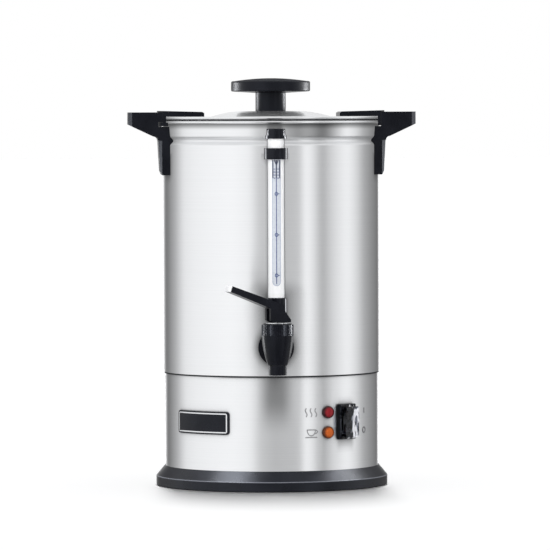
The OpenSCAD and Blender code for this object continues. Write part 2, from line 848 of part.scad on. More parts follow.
module gauge_cap() {
    flange_h = 3.3;
    plug_h = 2.6;
    brim = 1.2;
    brim_r = cap_d / 2 + brim;
    soft = 1;
    color("#1d1d20") translate([0, gauge_y, 0]) rotate_extrude() polygon(concat(
        [[0, tube_top - plug_h], [tube_bore / 2 - fit_gap, tube_top - plug_h],
            [tube_bore / 2 - fit_gap, tube_top], [brim_r, tube_top],
            [brim_r, tube_top + flange_h], [cap_d / 2, tube_top + flange_h]],
        arc([cap_d / 2 - soft, tube_top + cap_h - soft], soft, 0, 90, 4),
        [[0, tube_top + cap_h]]));
}

module gauge_collar() {
    arm_w = 12;
    color("#1d1d20") difference() {
        union() {
            translate([0, gauge_y, 0]) rod(collar_d / 2, collar_z, collar_z + collar_h);
            translate([-arm_w / 2, gauge_y, collar_z]) cube([arm_w, gauge_off + through / 2, collar_h]);
        }
        translate([0, gauge_y, 0]) rod(tube_d / 2 + fit_gap, collar_z - cut, collar_z + collar_h + cut);
        rod(tank_r + fit_gap, collar_z - cut, collar_z + collar_h + cut);
        rod_y(screw_r + fit_gap, 0, gauge_y + tube_d / 2, collar_z + collar_h / 2);
    }
}

module collar_screw() {
    head = tank_r - sheet_t - fit_gap;
    tip = tank_r + gauge_off - tube_d / 2 - cut;
    color("#b5b7ba") translate([0, -head, collar_z + collar_h / 2]) rotate([90, 0, 0])
        screw(screw_r, tip - head, screw_head_r, screw_head_h);
}

module gauge_tee() {
    shoulder = 3;
    soft = 0.8;
    color("#1b1b1d") difference() {
        union() {
            rod_y(tee_r, tee_back, tee_front, shank_z);
            translate([0, gauge_y, 0]) rotate_extrude() polygon([
                [0, shank_z], [riser_r, shank_z], [riser_r, socket_z - shoulder],
                [socket_d / 2, socket_z + soft], [socket_d / 2, socket_top - soft],
                [socket_d / 2 - soft, socket_top], [0, socket_top]
            ]);
        }
        rod_y(shank_d / 2 + fit_gap, tee_back + cut, tee_front - cut, shank_z);
        translate([0, gauge_y, 0]) {
            rod(tube_d / 2 + fit_gap, socket_floor, socket_top + cut);
            rod(tube_bore / 2, shank_z, socket_floor + cut);
        }
    }
}

module gauge_seal() {
    color("#d8d4c8") translate([0, gauge_y, 0]) tube(tube_bore / 2, tube_d / 2, socket_floor, tube_z);
}

// Tap

module tap_shank() {
    color("#9fa1a5") difference() {
        rod_y(shank_d / 2, shank_in, shank_tip, shank_z);
        rod_y(shank_bore / 2, shank_in + cut, shank_tip - cut, shank_z);
        translate([0, gauge_y, 0]) rod(gauge_port_r, shank_z, shank_z + shank_d);
    }
}

module tap_flange() {
    color("#1b1b1d") difference() {
        rod_y(tap_flange_d / 2, 0, tee_back, shank_z);
        rod(tank_r + tap_seal_t, 0, rim_z);
        rod_y(shank_d / 2 + fit_gap, cut, tee_back - cut, shank_z);
    }
}

// Rubber ring on the tank wall, between two radii from the axis
module wall_seal(r_in, r_out) {
    color("#d8d4c8") difference() {
        intersection() {
            rod_y(tap_flange_d / 2 - seal_inset, 0, tee_back, shank_z);
            tube(r_in, r_out, seam_z, rim_z);
        }
        rod_y(shank_d / 2 + fit_gap, 0, tee_back - cut, shank_z);
    }
}

module tap_seal_outer() {
    wall_seal(tank_r, tank_r + tap_seal_t);
}

module tap_seal_inner() {
    color("#d8d4c8") difference() {
        rod_y(nut_af / 2, nut_face, -tank_r, shank_z);
        rod_y(shank_d / 2 + fit_gap, nut_face + cut, -tank_r - cut, shank_z);
        tube(tank_r - sheet_t, tank_r + through, seam_z, rim_z);
    }
}

module tap_nut() {
    color("#9fa1a5") difference() {
        translate([0, nut_face + nut_h, shank_z]) rotate([90, 0, 0])
            cylinder(h = nut_h, d = nut_af / cos(30), $fn = 6);
        rod_y(shank_d / 2 + fit_gap, nut_face + nut_h + cut, nut_face - cut, shank_z);
    }
}

// Radius of the tap's bulb at a share of its height, from its top down
function bulb_at(t) =
    let (low = spout_d / 2 + bulb_lip, bulge = 1.8)
    low + (bulb_d / 2 - low) * (1 - pow(t, bulge));

module tap_body() {
    steps = 14;
    brow = bulb_top - fit_gap;
    color("#1b1b1d") difference() {
        union() {
            translate([0, tap_y, 0]) rotate_extrude() polygon(concat(
                [[0, neck_top], [neck_r, neck_top], [neck_r, brow]],
                [for (i = [0:steps]) let (t = i / steps) [bulb_at(t), brow - (brow - bulb_foot) * t]],
                [[spout_d / 2, bulb_foot - bulb_lip], [spout_d / 2, spout_z], [0, spout_z]]));
            rod_y(tee_r, tee_front, tap_y, shank_z);
        }
        translate([0, tap_y, 0]) {
            rod(chamber_d / 2, seat_z, neck_top + cut);
            rod(spout_bore / 2, spout_z - cut, seat_z + cut);
        }
        rod_y(shank_d / 2 + fit_gap, tee_front + cut, shank_tip - fit_gap, shank_z);
        rod_y(shank_bore / 2, tee_front + cut, tap_y, shank_z);
    }
}

module tap_bonnet() {
    ribs = 42;
    rib_h = 0.7;
    bevel_h = 1;
    bevel_w = 1.6;
    color("#1b1b1d") translate([0, tap_y, 0]) difference() {
        union() {
            translate([0, 0, bonnet_z]) linear_extrude(bonnet_h - bevel_h)
                polygon([for (i = [0:4 * ribs - 1]) let (a = 90 * i / ribs)
                    (bonnet_d / 2 - (i % 4 < 2 ? 0 : rib_h)) * [cos(a), sin(a)]]);
            translate([0, 0, bonnet_top - bevel_h])
                cylinder(h = bevel_h, r1 = bonnet_d / 2 - rib_h, r2 = bonnet_d / 2 - bevel_w);
        }
        rod(neck_r + fit_gap, bonnet_z - cut, bonnet_under);
        rod(valve_r + pin_gap, bonnet_under - cut, bonnet_top + cut);
    }
}

// Rings of the return spring, which climbs from the stem's collar to the bonnet
module tap_spring() {
    rings_per_turn = 10;
    sides = 6;
    rings = spring_turns * rings_per_turn;
    low = spring_foot + spring_wire / 2 + fit_gap;
    high = bonnet_under - spring_wire / 2 - fit_gap;
    pts = [for (i = [0:rings], j = [0:sides - 1])
        let (a = 360 * i / rings_per_turn, b = 360 * j / sides, r = spring_r + spring_wire / 2 * cos(b))
        [r * cos(a), r * sin(a), low + (high - low) * i / rings + spring_wire / 2 * sin(b)]];
    quads = [for (i = [0:rings - 1], j = [0:sides - 1])
        let (k = (j + 1) % sides, c = i * sides)
        each [[c + j, c + sides + j, c + sides + k], [c + j, c + sides + k, c + k]]];
    last = rings * sides;
    color("#b9bbbe") translate([0, tap_y, 0]) polyhedron(pts, concat(quads,
        [for (j = [1:sides - 2]) [0, j, j + 1]],
        [for (j = [1:sides - 2]) [last, last + j + 1, last + j]]));
}

module lever_washer() {
    color("#c8cacd") translate([0, tap_y, 0])
        tube(valve_r + pin_gap, heel_back, bonnet_top + fit_gap, bonnet_top + lever_washer_t);
}

module tap_stem() {
    color("#9fa1a5") translate([0, tap_y, 0]) rotate([0, 0, lever_turn]) difference() {
        union() {
            rod(valve_r, seat_z + seat_cup_floor, pivot_z + stem_over);
            rod(stem_collar_r, seat_z + seat_cup_h, spring_foot);
        }
        translate([0, 0, pivot_z]) rotate([90, 0, 0])
            cylinder(h = 4 * valve_r, r = pivot_pin_r + pin_gap, center = true);
    }
}

module seat_cup() {
    color("#d8d4c8") translate([0, tap_y, 0]) difference() {
        rod(stem_collar_r + seat_cup_lip, seat_z + fit_gap, seat_z + seat_cup_h);
        rod(valve_r + fit_gap, seat_z + seat_cup_floor, seat_z + seat_cup_h + cut);
    }
}

module lever_pin() {
    color("#1b1b1d") translate([0, tap_y, pivot_z]) rotate([90, 0, lever_turn])
        cylinder(h = lever_w, r = pivot_pin_r, center = true);
}

// Heel that keeps the stem's lift in step with the lever's angle, from its pivot, with the arm towards +x
function cam(a) =
    let (lift = lift_per_rad * a * PI / 180)
    (pivot_h + lift) * [sin(a), -cos(a)] + lift_per_rad * [cos(a), sin(a)];

module tap_lever() {
    heel = [for (i = [0:10]) cam(press_angle * i / 10)];
    front = heel[10][0];
    top_back = 4.6;
    top_w = 8.2;
    drop = arm_t / cos(arm_angle);
    root_drop = arm_root_t / cos(arm_angle);
    bevel = arm_t * sin(arm_angle);
    heel_step = [1, 1.6];
    heel_h = 2.6;
    slot = valve_d + 2 * run_gap;
    slot_top = norm([valve_r, stem_over]) + run_gap;
    color("#1b1b1d") translate([0, tap_y, pivot_z])
        rotate([90, 0, lever_turn]) mirror([1, 0, 0]) difference() {
            linear_extrude(lever_w, center = true) polygon(concat(
                [[-heel_back, -pivot_h]], heel,
                [[front, top_w + (front + top_back) * arm_slope - root_drop],
                    [lever_l, top_w + (lever_l + top_back) * arm_slope - drop],
                    [lever_l - bevel, top_w + (lever_l - bevel + top_back) * arm_slope],
                    [-top_back, top_w], [-top_back - heel_step[0], heel_step[1]],
                    [-heel_back, heel_h - pivot_h]]));
            translate([-heel_back - cut, -pivot_h - cut, -slot / 2])
                cube([heel_back + front + 2 * cut, pivot_h + cut + slot_top, slot]);
            cylinder(h = 2 * lever_w, r = pivot_pin_r + fit_gap / 4, center = true);
        }
}

// Front panel

// Plate that follows the housing, with a flat outline seen from outside
module wrapped(a, z, r_in, r_out) {
    at_angle(a) intersection() {
        tube(r_in, r_out, slot_z, seam_z);
        translate([0, 0, z]) rotate([90, 0, 0]) linear_extrude(2 * tank_r) children();
    }
}

module badge() {
    color("#17171a") wrapped(badge_angle, badge_z, housing_r, housing_r + badge_t)
        round_rect(badge_w, badge_l, badge_corner);
}

module badge_frame() {
    w = badge_w - 2 * frame_inset;
    l = badge_l - 2 * frame_inset;
    color("#c9cbce") wrapped(badge_angle, badge_z, housing_r + badge_t, housing_r + badge_t + frame_t)
        difference() {
            round_rect(w, l, badge_corner - 1);
            square([w - 2 * frame_line, l - 2 * frame_line], center = true);
        }
}

// Domed lens on the housing
module lens(z) {
    flat_h = 1.8;
    dome = 2.4;
    at_angle(lamp_angle) difference() {
        translate([0, -housing_r, z]) rotate([90, 0, 0]) rotate_extrude() polygon(concat(
            [[0, -cut], [lens_r, -cut], [lens_r, flat_h]],
            [for (i = [1:8]) [lens_r * cos(90 * i / 8), flat_h + dome * sin(90 * i / 8)]]));
        rod(housing_r + fit_gap, 0, seam_z);
    }
}

module lamp_red() {
    color("#b3151c") lens(lamp_zs[0]);
}

module lamp_amber() {
    color("#e0731b") lens(lamp_zs[1]);
}

module lamp_holders() {
    grip_l = 4;
    color("#e8e6df") for (z = lamp_zs) at_angle(lamp_angle) {
        intersection() {
            rod_y(holder_r, holder_l - housing_r, -housing_r - cut, z);
            rod(housing_r, 0, seam_z);
        }
        intersection() {
            rod_y(holder_r + holder_grip, grip_l - housing_r, -housing_r, z);
            rod(housing_r - sheet_t - fit_gap, 0, seam_z);
        }
    }
}

module switch_body() {
    bezel_back = 2;
    skin = 4;
    color("#19191b") difference() {
        on_wall(switch_angle, housing_r, panel_z) difference() {
            union() {
                block(bezel_w, bezel_l, -bezel_back, bezel_proud);
                block(switch_w, switch_l, -switch_depth, 0);
            }
            block(rocker_w + 2 * run_gap, pocket_l, -pocket_depth, bezel_proud + cut);
            translate([0, -rocker_pivot, 0]) rotate([0, 90, 0])
                cylinder(h = bezel_w - bezel_back, r = switch_pin_r + pin_gap, center = true);
        }
        difference() {
            tube(housing_r - skin, housing_r + fit_gap, slot_z, seam_z);
            on_wall(switch_angle, housing_r, panel_z) block(switch_w, switch_l, -through, through);
        }
    }
}

module switch_terminals() {
    color("#c8a860") on_wall(switch_angle, housing_r, panel_z)
        for (z = [-1, 1]) translate([0, switch_depth + blade_l / 2, z * switch_l / 4])
            cube([blade_w, blade_l, blade_t], true);
}

module switch_pin() {
    color("#a9abb0") on_wall(switch_angle, housing_r, panel_z) translate([0, -rocker_pivot, 0])
        rotate([0, 90, 0]) cylinder(h = switch_w, r = switch_pin_r, center = true);
}

module switch_rocker() {
    half = rocker_l / 2;
    ends = rocker_crown + half * tan(rocker_tilt);
    foot = 1;
    hub_d = 3;
    hub_w = 2.5;
    hub_root = 4;
    color("#141416") on_wall(switch_angle, housing_r, panel_z) translate([0, -rocker_pivot, 0])
        rotate([rocker_tilt, 0, 0]) difference() {
            translate([0, rocker_pivot, 0]) side_plate(rocker_w) polygon([
                [foot, -half], [ends, -half], [rocker_crown, 0], [ends, half], [foot, half],
                [foot, hub_root], [-hub_d, hub_w], [-hub_d, -hub_w], [foot, -hub_root]
            ]);
            rotate([0, 90, 0]) cylinder(h = 2 * rocker_w, r = switch_pin_r + pin_gap, center = true);
        }
}

module switch_boot() {
    lip = 1;
    top = bezel_proud + boot_h;
    color("#dfe7ec") on_wall(switch_angle, housing_r, panel_z) difference() {
        union() {
            block(bezel_w - lip, bezel_l - lip, bezel_proud, bezel_proud + lip);
            block(bezel_w - 3 * lip, bezel_l - 5 * lip, bezel_proud, top);
        }
        block(bezel_w - 3 * lip - 2 * boot_wall, bezel_l - 5 * lip - 2 * boot_wall, 0, top - boot_wall);
    }
}

// Power inlet

module power_inlet() {
    flange_back = 6;
    color("#1b1b1d") difference() {
        on_wall(180, housing_r, inlet_z) difference() {
            union() {
                block(inlet_flange_w, inlet_flange_l, -flange_back, inlet_proud);
                block(inlet_case_w, inlet_case_l, -inlet_back, 0);
            }
            block(inlet_w, inlet_l, inlet_proud - inlet_depth, inlet_proud + cut);
            for (p = inlet_pins_at) translate([p[0], 0, p[1]])
                block(inlet_pin_w + 2 * fit_gap, inlet_pin_l + 2 * fit_gap, -inlet_back - cut, 0);
            for (x = [-1, 1]) translate([x * inlet_screw_x, 0, 0])
                rod_y(screw_r + fit_gap, 2 * through, -2 * through, 0);
        }
        difference() {
            rod(housing_r + fit_gap, 0, seam_z);
            on_wall(180, housing_r, inlet_z) block(inlet_case_w, inlet_case_l, -inlet_back - cut, through);
        }
    }
}

module inlet_pins() {
    color("#c8a860") on_wall(180, housing_r, inlet_z) for (p = inlet_pins_at) translate([p[0], 0, p[1]])
        block(inlet_pin_w, inlet_pin_l, -inlet_back - inlet_tail, inlet_proud - inlet_pin_drop);
}

module inlet_screws() {
    color("#b5b7ba") on_wall(180, housing_r, inlet_z) for (x = [-1, 1])
        translate([x * inlet_screw_x, -inlet_proud, 0]) rotate([-90, 0, 0])
        screw(screw_r, 4 * inlet_proud, screw_head_r, screw_head_h);
}

// Lid

module lid_seal() {
    color("#3a3a3c") tube(skirt_r + run_gap, rim_out - seal_t, rim_z + run_gap, rim_z + run_gap + seal_t);
}

module lid() {
    steps = 14;
    roll_r = lid_roll_d / 2;
    centre = [rim_out - roll_r, lid_z + roll_r];
    start = 180 - asin((lid_under - centre[1]) / roll_r);
    swell = 0.6;
    rise = [for (i = [0:steps]) let (t = i / steps)
        [dome_foot_r + (dome_top_r - dome_foot_r) * t, lid_top + dome_h * ease(pow(t, swell))]];
    color("#d3d5d8") difference() {
        rotate_extrude() polygon(concat(
            [[0, platform_z - sheet_t]],
            [for (i = [steps:-1:0]) rise[i] - [0, sheet_t]],
            [[skirt_r - sheet_t, lid_under], [skirt_r - sheet_t, skirt_z], [skirt_r, skirt_z],
                [skirt_r, lid_under]],
            arc(centre, roll_r, start, 450, 14),
            rise,
            [[0, platform_z]]));
        rod(knob_screw_r + fit_gap, platform_z - sheet_t - cut, platform_z + cut);
        for (a = [-90, 90], x = [-1, 1]) at_angle(a) translate([x * tab_screw_x, -tab_screw_y, 0])
            rod(screw_r + fit_gap, lid_under - cut, lid_top + cut);
    }
}

module lid_knob() {
    steps = 8;
    edge = 1.6;
    crown = 3;
    slope = 1.5;
    side_z = knob_top - crown;
    boss_wall = 3.5;
    boss_r = knob_screw_r + boss_wall;
    stem_wall = 3;
    color("#1b1b1d") difference() {
        rotate_extrude() polygon(concat(
            [[0, platform_z], [stem_d / 2, platform_z], [stem_d / 2, knob_under],
                [knob_r - edge, knob_under + slope]],
            arc([knob_r - edge, knob_under + slope + edge], edge, -60, 0, 4),
            arc([knob_r - edge, side_z - edge], edge, 0, 80, 4),
            [for (i = [0:steps]) let (t = i / steps)
                [(knob_r - 2 * edge) * (1 - t), side_z + crown * (1 - (1 - t) * (1 - t))]]));
        tube(boss_r, stem_d / 2 - stem_wall, platform_z - cut, platform_z + knob_hollow_h);
        rod(knob_screw_r + fit_gap, platform_z - cut, platform_z + knob_screw_l + cut);
    }
}

module knob_screw() {
    color("#b5b7ba") translate([0, 0, platform_z - sheet_t])
        screw(knob_screw_r, knob_screw_l + sheet_t, knob_screw_head_r, knob_screw_head_h);
}

// Tab facing the front, with its tongue towards +x
module lid_tab() {
    half = tab_w / 2;
    ear = tongue_x + tongue_l;
    soft = 1.2;
    lead_in = 2;
    color("#1d1d20") difference() {
        union() {
            intersection() {
                side_plate(tab_w) polygon([
                    [tab_inner, lid_top], [tab_inner, tab_top - 2 * soft],
                    [tab_inner + lead_in, tab_top - soft], [tab_out, tab_top], [tab_out, lid_top]
                ]);
                rod(tab_out, tongue_z, tab_top + cut);
            }
            intersection() {
                tube(tab_in, tab_out, tongue_z, lid_top + cut);
                translate([-half, -2 * tank_r, 0]) cube([tab_w, 2 * tank_r, tab_top]);
            }
            intersection() {
                tube(tab_in, tab_out, tongue_z, tongue_z + tongue_h);
                translate([0, -2 * tank_r, 0]) cube([ear, 2 * tank_r, tab_top]);
            }
            intersection() {
                tube(tab_in, tongue_out, tongue_z, tongue_z + tongue_h);
                translate([tongue_x, -2 * tank_r, 0]) cube([tongue_l, 2 * tank_r, tab_top]);
            }
        }
        for (x = [-1, 1]) translate([x * tab_screw_x, -tab_screw_y, 0])
            rod(screw_r + fit_gap, lid_top - cut, lid_top + tab_screw_l + fit_gap);
    }
}

module lid_tab_left() {
    at_angle(-90) lid_tab();
}

module lid_tab_right() {
    at_angle(90) lid_tab();
}

module tab_screws() {
    color("#b5b7ba") for (a = [-90, 90], x = [-1, 1]) at_angle(a)
        translate([x * tab_screw_x, -tab_screw_y, lid_under])
        screw(screw_r, sheet_t + tab_screw_l, screw_head_r, screw_head_h);
}

// Percolator

module pump_tube() {
    shelf_r = 2 * pump_r;
    shelf_t = 1.5;
    shelf_h = 8;
    rim_h = 3;
    slant = rim_h + pump_wall / 2;
    shelf_z = basket_z - run_gap;
    color("#c6c8cb") rotate_extrude() polygon([
        [pump_bore, pump_z + bell_h], [bell_r - pump_wall, pump_z + rim_h], [bell_r - pump_wall, pump_z],
        [bell_r, pump_z], [bell_r, pump_z + slant], [pump_r, pump_z + bell_h + 1],
        [pump_r, basket_z - shelf_h],
        [shelf_r, shelf_z - shelf_t], [shelf_r, shelf_z], [pump_r, shelf_z],
        [pump_r, pump_top], [pump_bore, pump_top]
    ]);
}

// Rings of small holes round the axis
module holes(z0, z1, r_out) {
    hole_r = 1.4;
    for (ring = [1:3]) ring_of(8 * ring, r_out * (0.2 + 0.22 * ring)) rod(hole_r, z0, z1);
}

module coffee_basket() {
    sleeve_drop = 14;
    sleeve_top = basket_top - sleeve_drop;
    color("#cfd1d4") difference() {
        rotate_extrude() polygon([
            [sleeve_r, basket_z], [basket_r, basket_z], [basket_r, basket_top],
            [basket_r - basket_t, basket_top], [basket_r - basket_t, basket_z + basket_t],
            [sleeve_r + basket_t, basket_z + basket_t],
            [sleeve_r + basket_t, sleeve_top], [sleeve_r, sleeve_top]
        ]);
        holes(basket_z - cut, basket_z + basket_t + cut, basket_r);
    }
}

module basket_spreader() {
    rest = basket_top + fit_gap;
    inner = basket_r - basket_t - run_gap;
    lip = 1;
    lip_r = basket_r + lip;
    color("#cfd1d4") difference() {
        rotate_extrude() polygon([
            [sleeve_r, rest - spreader_h], [inner, rest - spreader_h], [inner, rest], [lip_r, rest],
            [lip_r, rest + basket_t], [inner - basket_t, rest + basket_t],
            [inner - basket_t, rest - spreader_h + basket_t], [sleeve_r, rest - spreader_h + basket_t]
        ]);
        holes(rest - spreader_h - cut, rest + cut, basket_r);
    }
}

foot_ring();
base_ring();
base_plate();
base_screws();
tie_rod();
tie_nut();
housing();
tank();
heater_plate();
heater_element();
warm_thermostat();
thermal_cutout();
wiring();
handle_left();
handle_right();
handle_screws();
handle_washers();
gauge_tube();
gauge_scale();
gauge_cap();
gauge_collar();
collar_screw();
gauge_tee();
gauge_seal();
tap_shank();
tap_flange();
tap_seal_outer();
tap_seal_inner();
tap_nut();
tap_body();
tap_bonnet();
tap_spring();
lever_washer();
tap_stem();
seat_cup();
lever_pin();
tap_lever();
badge();
badge_frame();
lamp_red();
lamp_amber();
lamp_holders();
switch_body();
switch_terminals();
switch_pin();
switch_rocker();
switch_boot();
power_inlet();
inlet_pins();
inlet_screws();
lid_seal();
lid();
lid_knob();
knob_screw();
lid_tab_left();
lid_tab_right();
tab_screws();
pump_tube();
coffee_basket();
basket_spreader();
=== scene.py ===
import bpy
import bmesh
import json
import math
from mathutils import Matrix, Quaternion, Vector

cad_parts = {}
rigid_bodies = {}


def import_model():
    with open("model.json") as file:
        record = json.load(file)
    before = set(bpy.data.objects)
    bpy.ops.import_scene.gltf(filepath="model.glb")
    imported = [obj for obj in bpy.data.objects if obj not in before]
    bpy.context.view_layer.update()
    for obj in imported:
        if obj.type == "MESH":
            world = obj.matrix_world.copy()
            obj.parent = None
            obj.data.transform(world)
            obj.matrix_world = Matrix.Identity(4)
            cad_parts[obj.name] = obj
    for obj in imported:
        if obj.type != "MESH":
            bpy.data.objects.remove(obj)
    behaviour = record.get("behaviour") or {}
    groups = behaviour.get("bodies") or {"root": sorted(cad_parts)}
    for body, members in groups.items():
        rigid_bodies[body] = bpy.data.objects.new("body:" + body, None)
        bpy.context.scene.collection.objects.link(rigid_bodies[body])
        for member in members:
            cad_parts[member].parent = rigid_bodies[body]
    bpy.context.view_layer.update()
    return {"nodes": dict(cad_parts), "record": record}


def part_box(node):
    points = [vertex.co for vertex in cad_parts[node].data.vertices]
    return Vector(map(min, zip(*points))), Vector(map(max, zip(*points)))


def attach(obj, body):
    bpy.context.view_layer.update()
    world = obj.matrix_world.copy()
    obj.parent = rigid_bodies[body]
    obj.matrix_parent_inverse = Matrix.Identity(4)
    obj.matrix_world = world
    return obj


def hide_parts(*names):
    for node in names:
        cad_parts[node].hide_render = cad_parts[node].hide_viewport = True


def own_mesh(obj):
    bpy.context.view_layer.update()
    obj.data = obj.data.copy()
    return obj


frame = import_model()
nodes = frame["nodes"]

# Lengths are in metres, in the urn's own frame: +Z up, tap towards -Y.
MM = 0.001
URN_BODY = frame["record"]["behaviour"]["joints"][0]["parent"]

# Sizes taken from the frame
rim_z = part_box("tank")[1].z
housing_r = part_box("housing")[1].x
knob_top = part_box("lid_knob")[1].z
base_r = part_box("base_ring")[1].x
tube_low, tube_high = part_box("gauge_tube")
scale_low, scale_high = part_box("gauge_scale")
gauge_y = (tube_low.y + tube_high.y) / 2
scale_r = gauge_y - scale_low.y
red_low, red_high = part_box("lamp_red")
amber_low, amber_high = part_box("lamp_amber")
bezel_low, bezel_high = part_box("switch_body")
bulb_low, bulb_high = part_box("tap_body")


def middle(low, high):
    """Point halfway between two corners."""
    return (low + high) / 2


def angle_of(point):
    """Angle of a point round the urn, from the front towards +X."""
    return math.atan2(point.x, -point.y)


def joint(name):
    """Joint of the record, by its name."""
    return next(j for j in frame["record"]["behaviour"]["joints"] if j["name"] == name)


lamp_angle = angle_of(middle(red_low, red_high))
red_z = middle(red_low, red_high).z
amber_z = middle(amber_low, amber_high).z
switch_angle = angle_of(Vector(joint("switch_rocker")["pos_m"]))
switch_z = middle(bezel_low, bezel_high).z
seam_z = min(v.co.z for v in nodes["tank"].data.vertices if v.co.xy.length > housing_r)
EDGE_NEAR = 0.1 * MM
base_edge_z = max(v.co.z for v in nodes["base_ring"].data.vertices if v.co.xy.length > base_r - EDGE_NEAR)


# Node tools

# Most of a noise lies between these, and its two tones change between the others
NOISE_MIDDLE = (0.3, 0.7)
TONE_MIDDLE = (0.35, 0.65)


def new_material(name):
    """New node material with a Principled shader."""
    material = bpy.data.materials.new(name)
    material.use_nodes = True
    return material, material.node_tree.nodes, material.node_tree.links


def shader_of(tree_nodes):
    """Principled shader of a new material."""
    return tree_nodes["Principled BSDF"]


def add(tree_nodes, kind, **values):
    """Adds a node and sets its properties or inputs by name."""
    node = tree_nodes.new(kind)
    for key, value in values.items():
        if hasattr(node, key):
            setattr(node, key, value)
        else:
            node.inputs[key.replace("_", " ")].default_value = value
    return node


def own_place(tree_nodes):
    """Place of a point in the urn's own frame."""
    return add(tree_nodes, "ShaderNodeTexCoord").outputs["Object"]


def own_height(tree_nodes, links):
    """Height of a point in the urn's own frame."""
    parts = add(tree_nodes, "ShaderNodeSeparateXYZ")
    links.new(own_place(tree_nodes), parts.inputs["Vector"])
    return parts.outputs["Z"]


def distance_from(tree_nodes, links, centre):
    """Distance from a point in the urn's own frame."""
    gap = add(tree_nodes, "ShaderNodeVectorMath", operation="DISTANCE")
    gap.inputs[1].default_value = centre
    links.new(own_place(tree_nodes), gap.inputs[0])
    return gap.outputs["Value"]


def stretched_noise(tree_nodes, links, stretch, detail=3.0):
    """Noise in the urn's own metres, with a scale for each axis."""
    mapping = add(tree_nodes, "ShaderNodeMapping", Scale=stretch)
    noise = add(tree_nodes, "ShaderNodeTexNoise", Scale=1.0, Detail=detail, Roughness=0.6)
    links.new(own_place(tree_nodes), mapping.inputs["Vector"])
    links.new(mapping.outputs["Vector"], noise.inputs["Vector"])
    return noise.outputs["Fac"]


def mapped(tree_nodes, links, value, start, end, low=0.0, high=1.0, kind="LINEAR"):
    """Change from one level to another, as a value goes from start to end."""
    node = add(tree_nodes, "ShaderNodeMapRange", interpolation_type=kind)
    for key, number in (("From Min", start), ("From Max", end), ("To Min", low), ("To Max", high)):
        node.inputs[key].default_value = number
    links.new(value, node.inputs["Value"])
    return node.outputs["Result"]


def smooth(tree_nodes, links, value, start, end):
    """Soft change from 0 to 1, as a value goes from start to end."""
    return mapped(tree_nodes, links, value, start, end, kind="SMOOTHSTEP")


def spread(tree_nodes, links, value, low, high):
    """Maps the middle of a noise to a range."""
    return mapped(tree_nodes, links, value, *NOISE_MIDDLE, low, high)


def two_tones(tree_nodes, links, value, dark, light):
    """Colour between two tones, by a noise."""
    ramp = add(tree_nodes, "ShaderNodeValToRGB")
    for stop, position, colour in zip(ramp.color_ramp.elements, TONE_MIDDLE, (dark, light)):
        stop.position = position
        stop.color = (*colour, 1)
    links.new(value, ramp.inputs["Fac"])
    return ramp.outputs["Color"]


def levels(tree_nodes, links, value, stops):
    """Grey levels by a value from 0 to 1, from pairs of place and level."""
    ramp = add(tree_nodes, "ShaderNodeValToRGB")
    elements = ramp.color_ramp.elements
    while len(elements) < len(stops):
        elements.new(0.5)
    for element, (position, level) in zip(elements, stops):
        element.position = position
        element.color = (level, level, level, 1)
    links.new(value, ramp.inputs["Fac"])
    return ramp.outputs["Color"]


def chained(tree_nodes, links, operation, values):
    """Some values joined by one kind of sum, from the first to the last."""
    total = values[0]
    for value in values[1:]:
        node = add(tree_nodes, "ShaderNodeMath", operation=operation)
        links.new(total, node.inputs[0])
        links.new(value, node.inputs[1])
        total = node.outputs["Value"]
    return total


def larger(tree_nodes, links, values):
    """Largest of some values."""
    return chained(tree_nodes, links, "MAXIMUM", values)


def product(tree_nodes, links, values):
    """Product of some values."""
    return chained(tree_nodes, links, "MULTIPLY", values)


def mixed(tree_nodes, links, share, value, number):
    """From a value to a number, by a share."""
    mix = add(tree_nodes, "ShaderNodeMix", data_type="FLOAT", B=number)
    links.new(share, mix.inputs["Factor"])
    links.new(value, mix.inputs["A"])
    return mix.outputs["Result"]


def bump(tree_nodes, links, height, strength, distance):
    """Bump from a height, on the Principled shader."""
    node = add(tree_nodes, "ShaderNodeBump", Strength=strength, Distance=distance)
    links.new(height, node.inputs["Height"])
    links.new(node.outputs["Normal"], shader_of(tree_nodes).inputs["Normal"])


# Materials

# Brushing goes round the urn: noise scale across and up, its change of roughness, and the steel's anisotropy
BRUSH_SCALE, BRUSH_UNEVEN = (6, 6, 2200), 0.015
BRUSH_ANISOTROPY, BRUSH_TURN = 0.85, 0.25
# The rolled rim and the lid are polished, from these depths below the rim's top
POLISH_FROM, POLISH_FULL = 4 * MM, 3 * MM
# Soft shade on the steel close to its fittings, between the base and the neck, and wider behind the tap
CLOSE_REACH, CLOSE_DEPTH = 9 * MM, 1.3
CLOSE_LOW, CLOSE_HIGH, CLOSE_FADE = 26 * MM, 342 * MM, 8 * MM
TAP_REACH, TAP_DEPTH = 28 * MM, 1.6
TAP_SHADE_R = 38 * MM
behind_tap_at = Vector((0, -housing_r, middle(bulb_low, bulb_high).z))
# Painted dark reflections in the steel: the tap's below the seam, the switch's, and one on the neck beside
# the gauge
TAP_REFLECTION = {"angle": 0, "core": 5 * MM, "edge": 21 * MM, "low": 54 * MM, "low_full": 94 * MM,
             "high": seam_z, "high_full": seam_z - 0.1 * MM, "level": 0.5}
NECK_REFLECTION = {"angle": 21, "core": 8 * MM, "edge": 42 * MM, "low": 354 * MM, "low_full": 357 * MM,
              "high": rim_z - 2 * MM, "high_full": rim_z - 3 * MM, "level": 0.42}
SWITCH_REFLECTION = {"angle": math.degrees(switch_angle), "core": 8 * MM, "edge": 14 * MM,
                "low": bezel_low.z - 16 * MM, "low_full": bezel_low.z - MM,
                "high": switch_z, "high_full": switch_z - MM, "level": 0.68}
# Shade on the neck under the rolled rim, by height from the rim
NECK_SHADE = [(-10 * MM, 1.0), (-8.5 * MM, 0.95), (-3.9 * MM, 0.28), (-3.2 * MM, 0.25), (-2.8 * MM, 1.0)]


SHADE_SAMPLES = 8


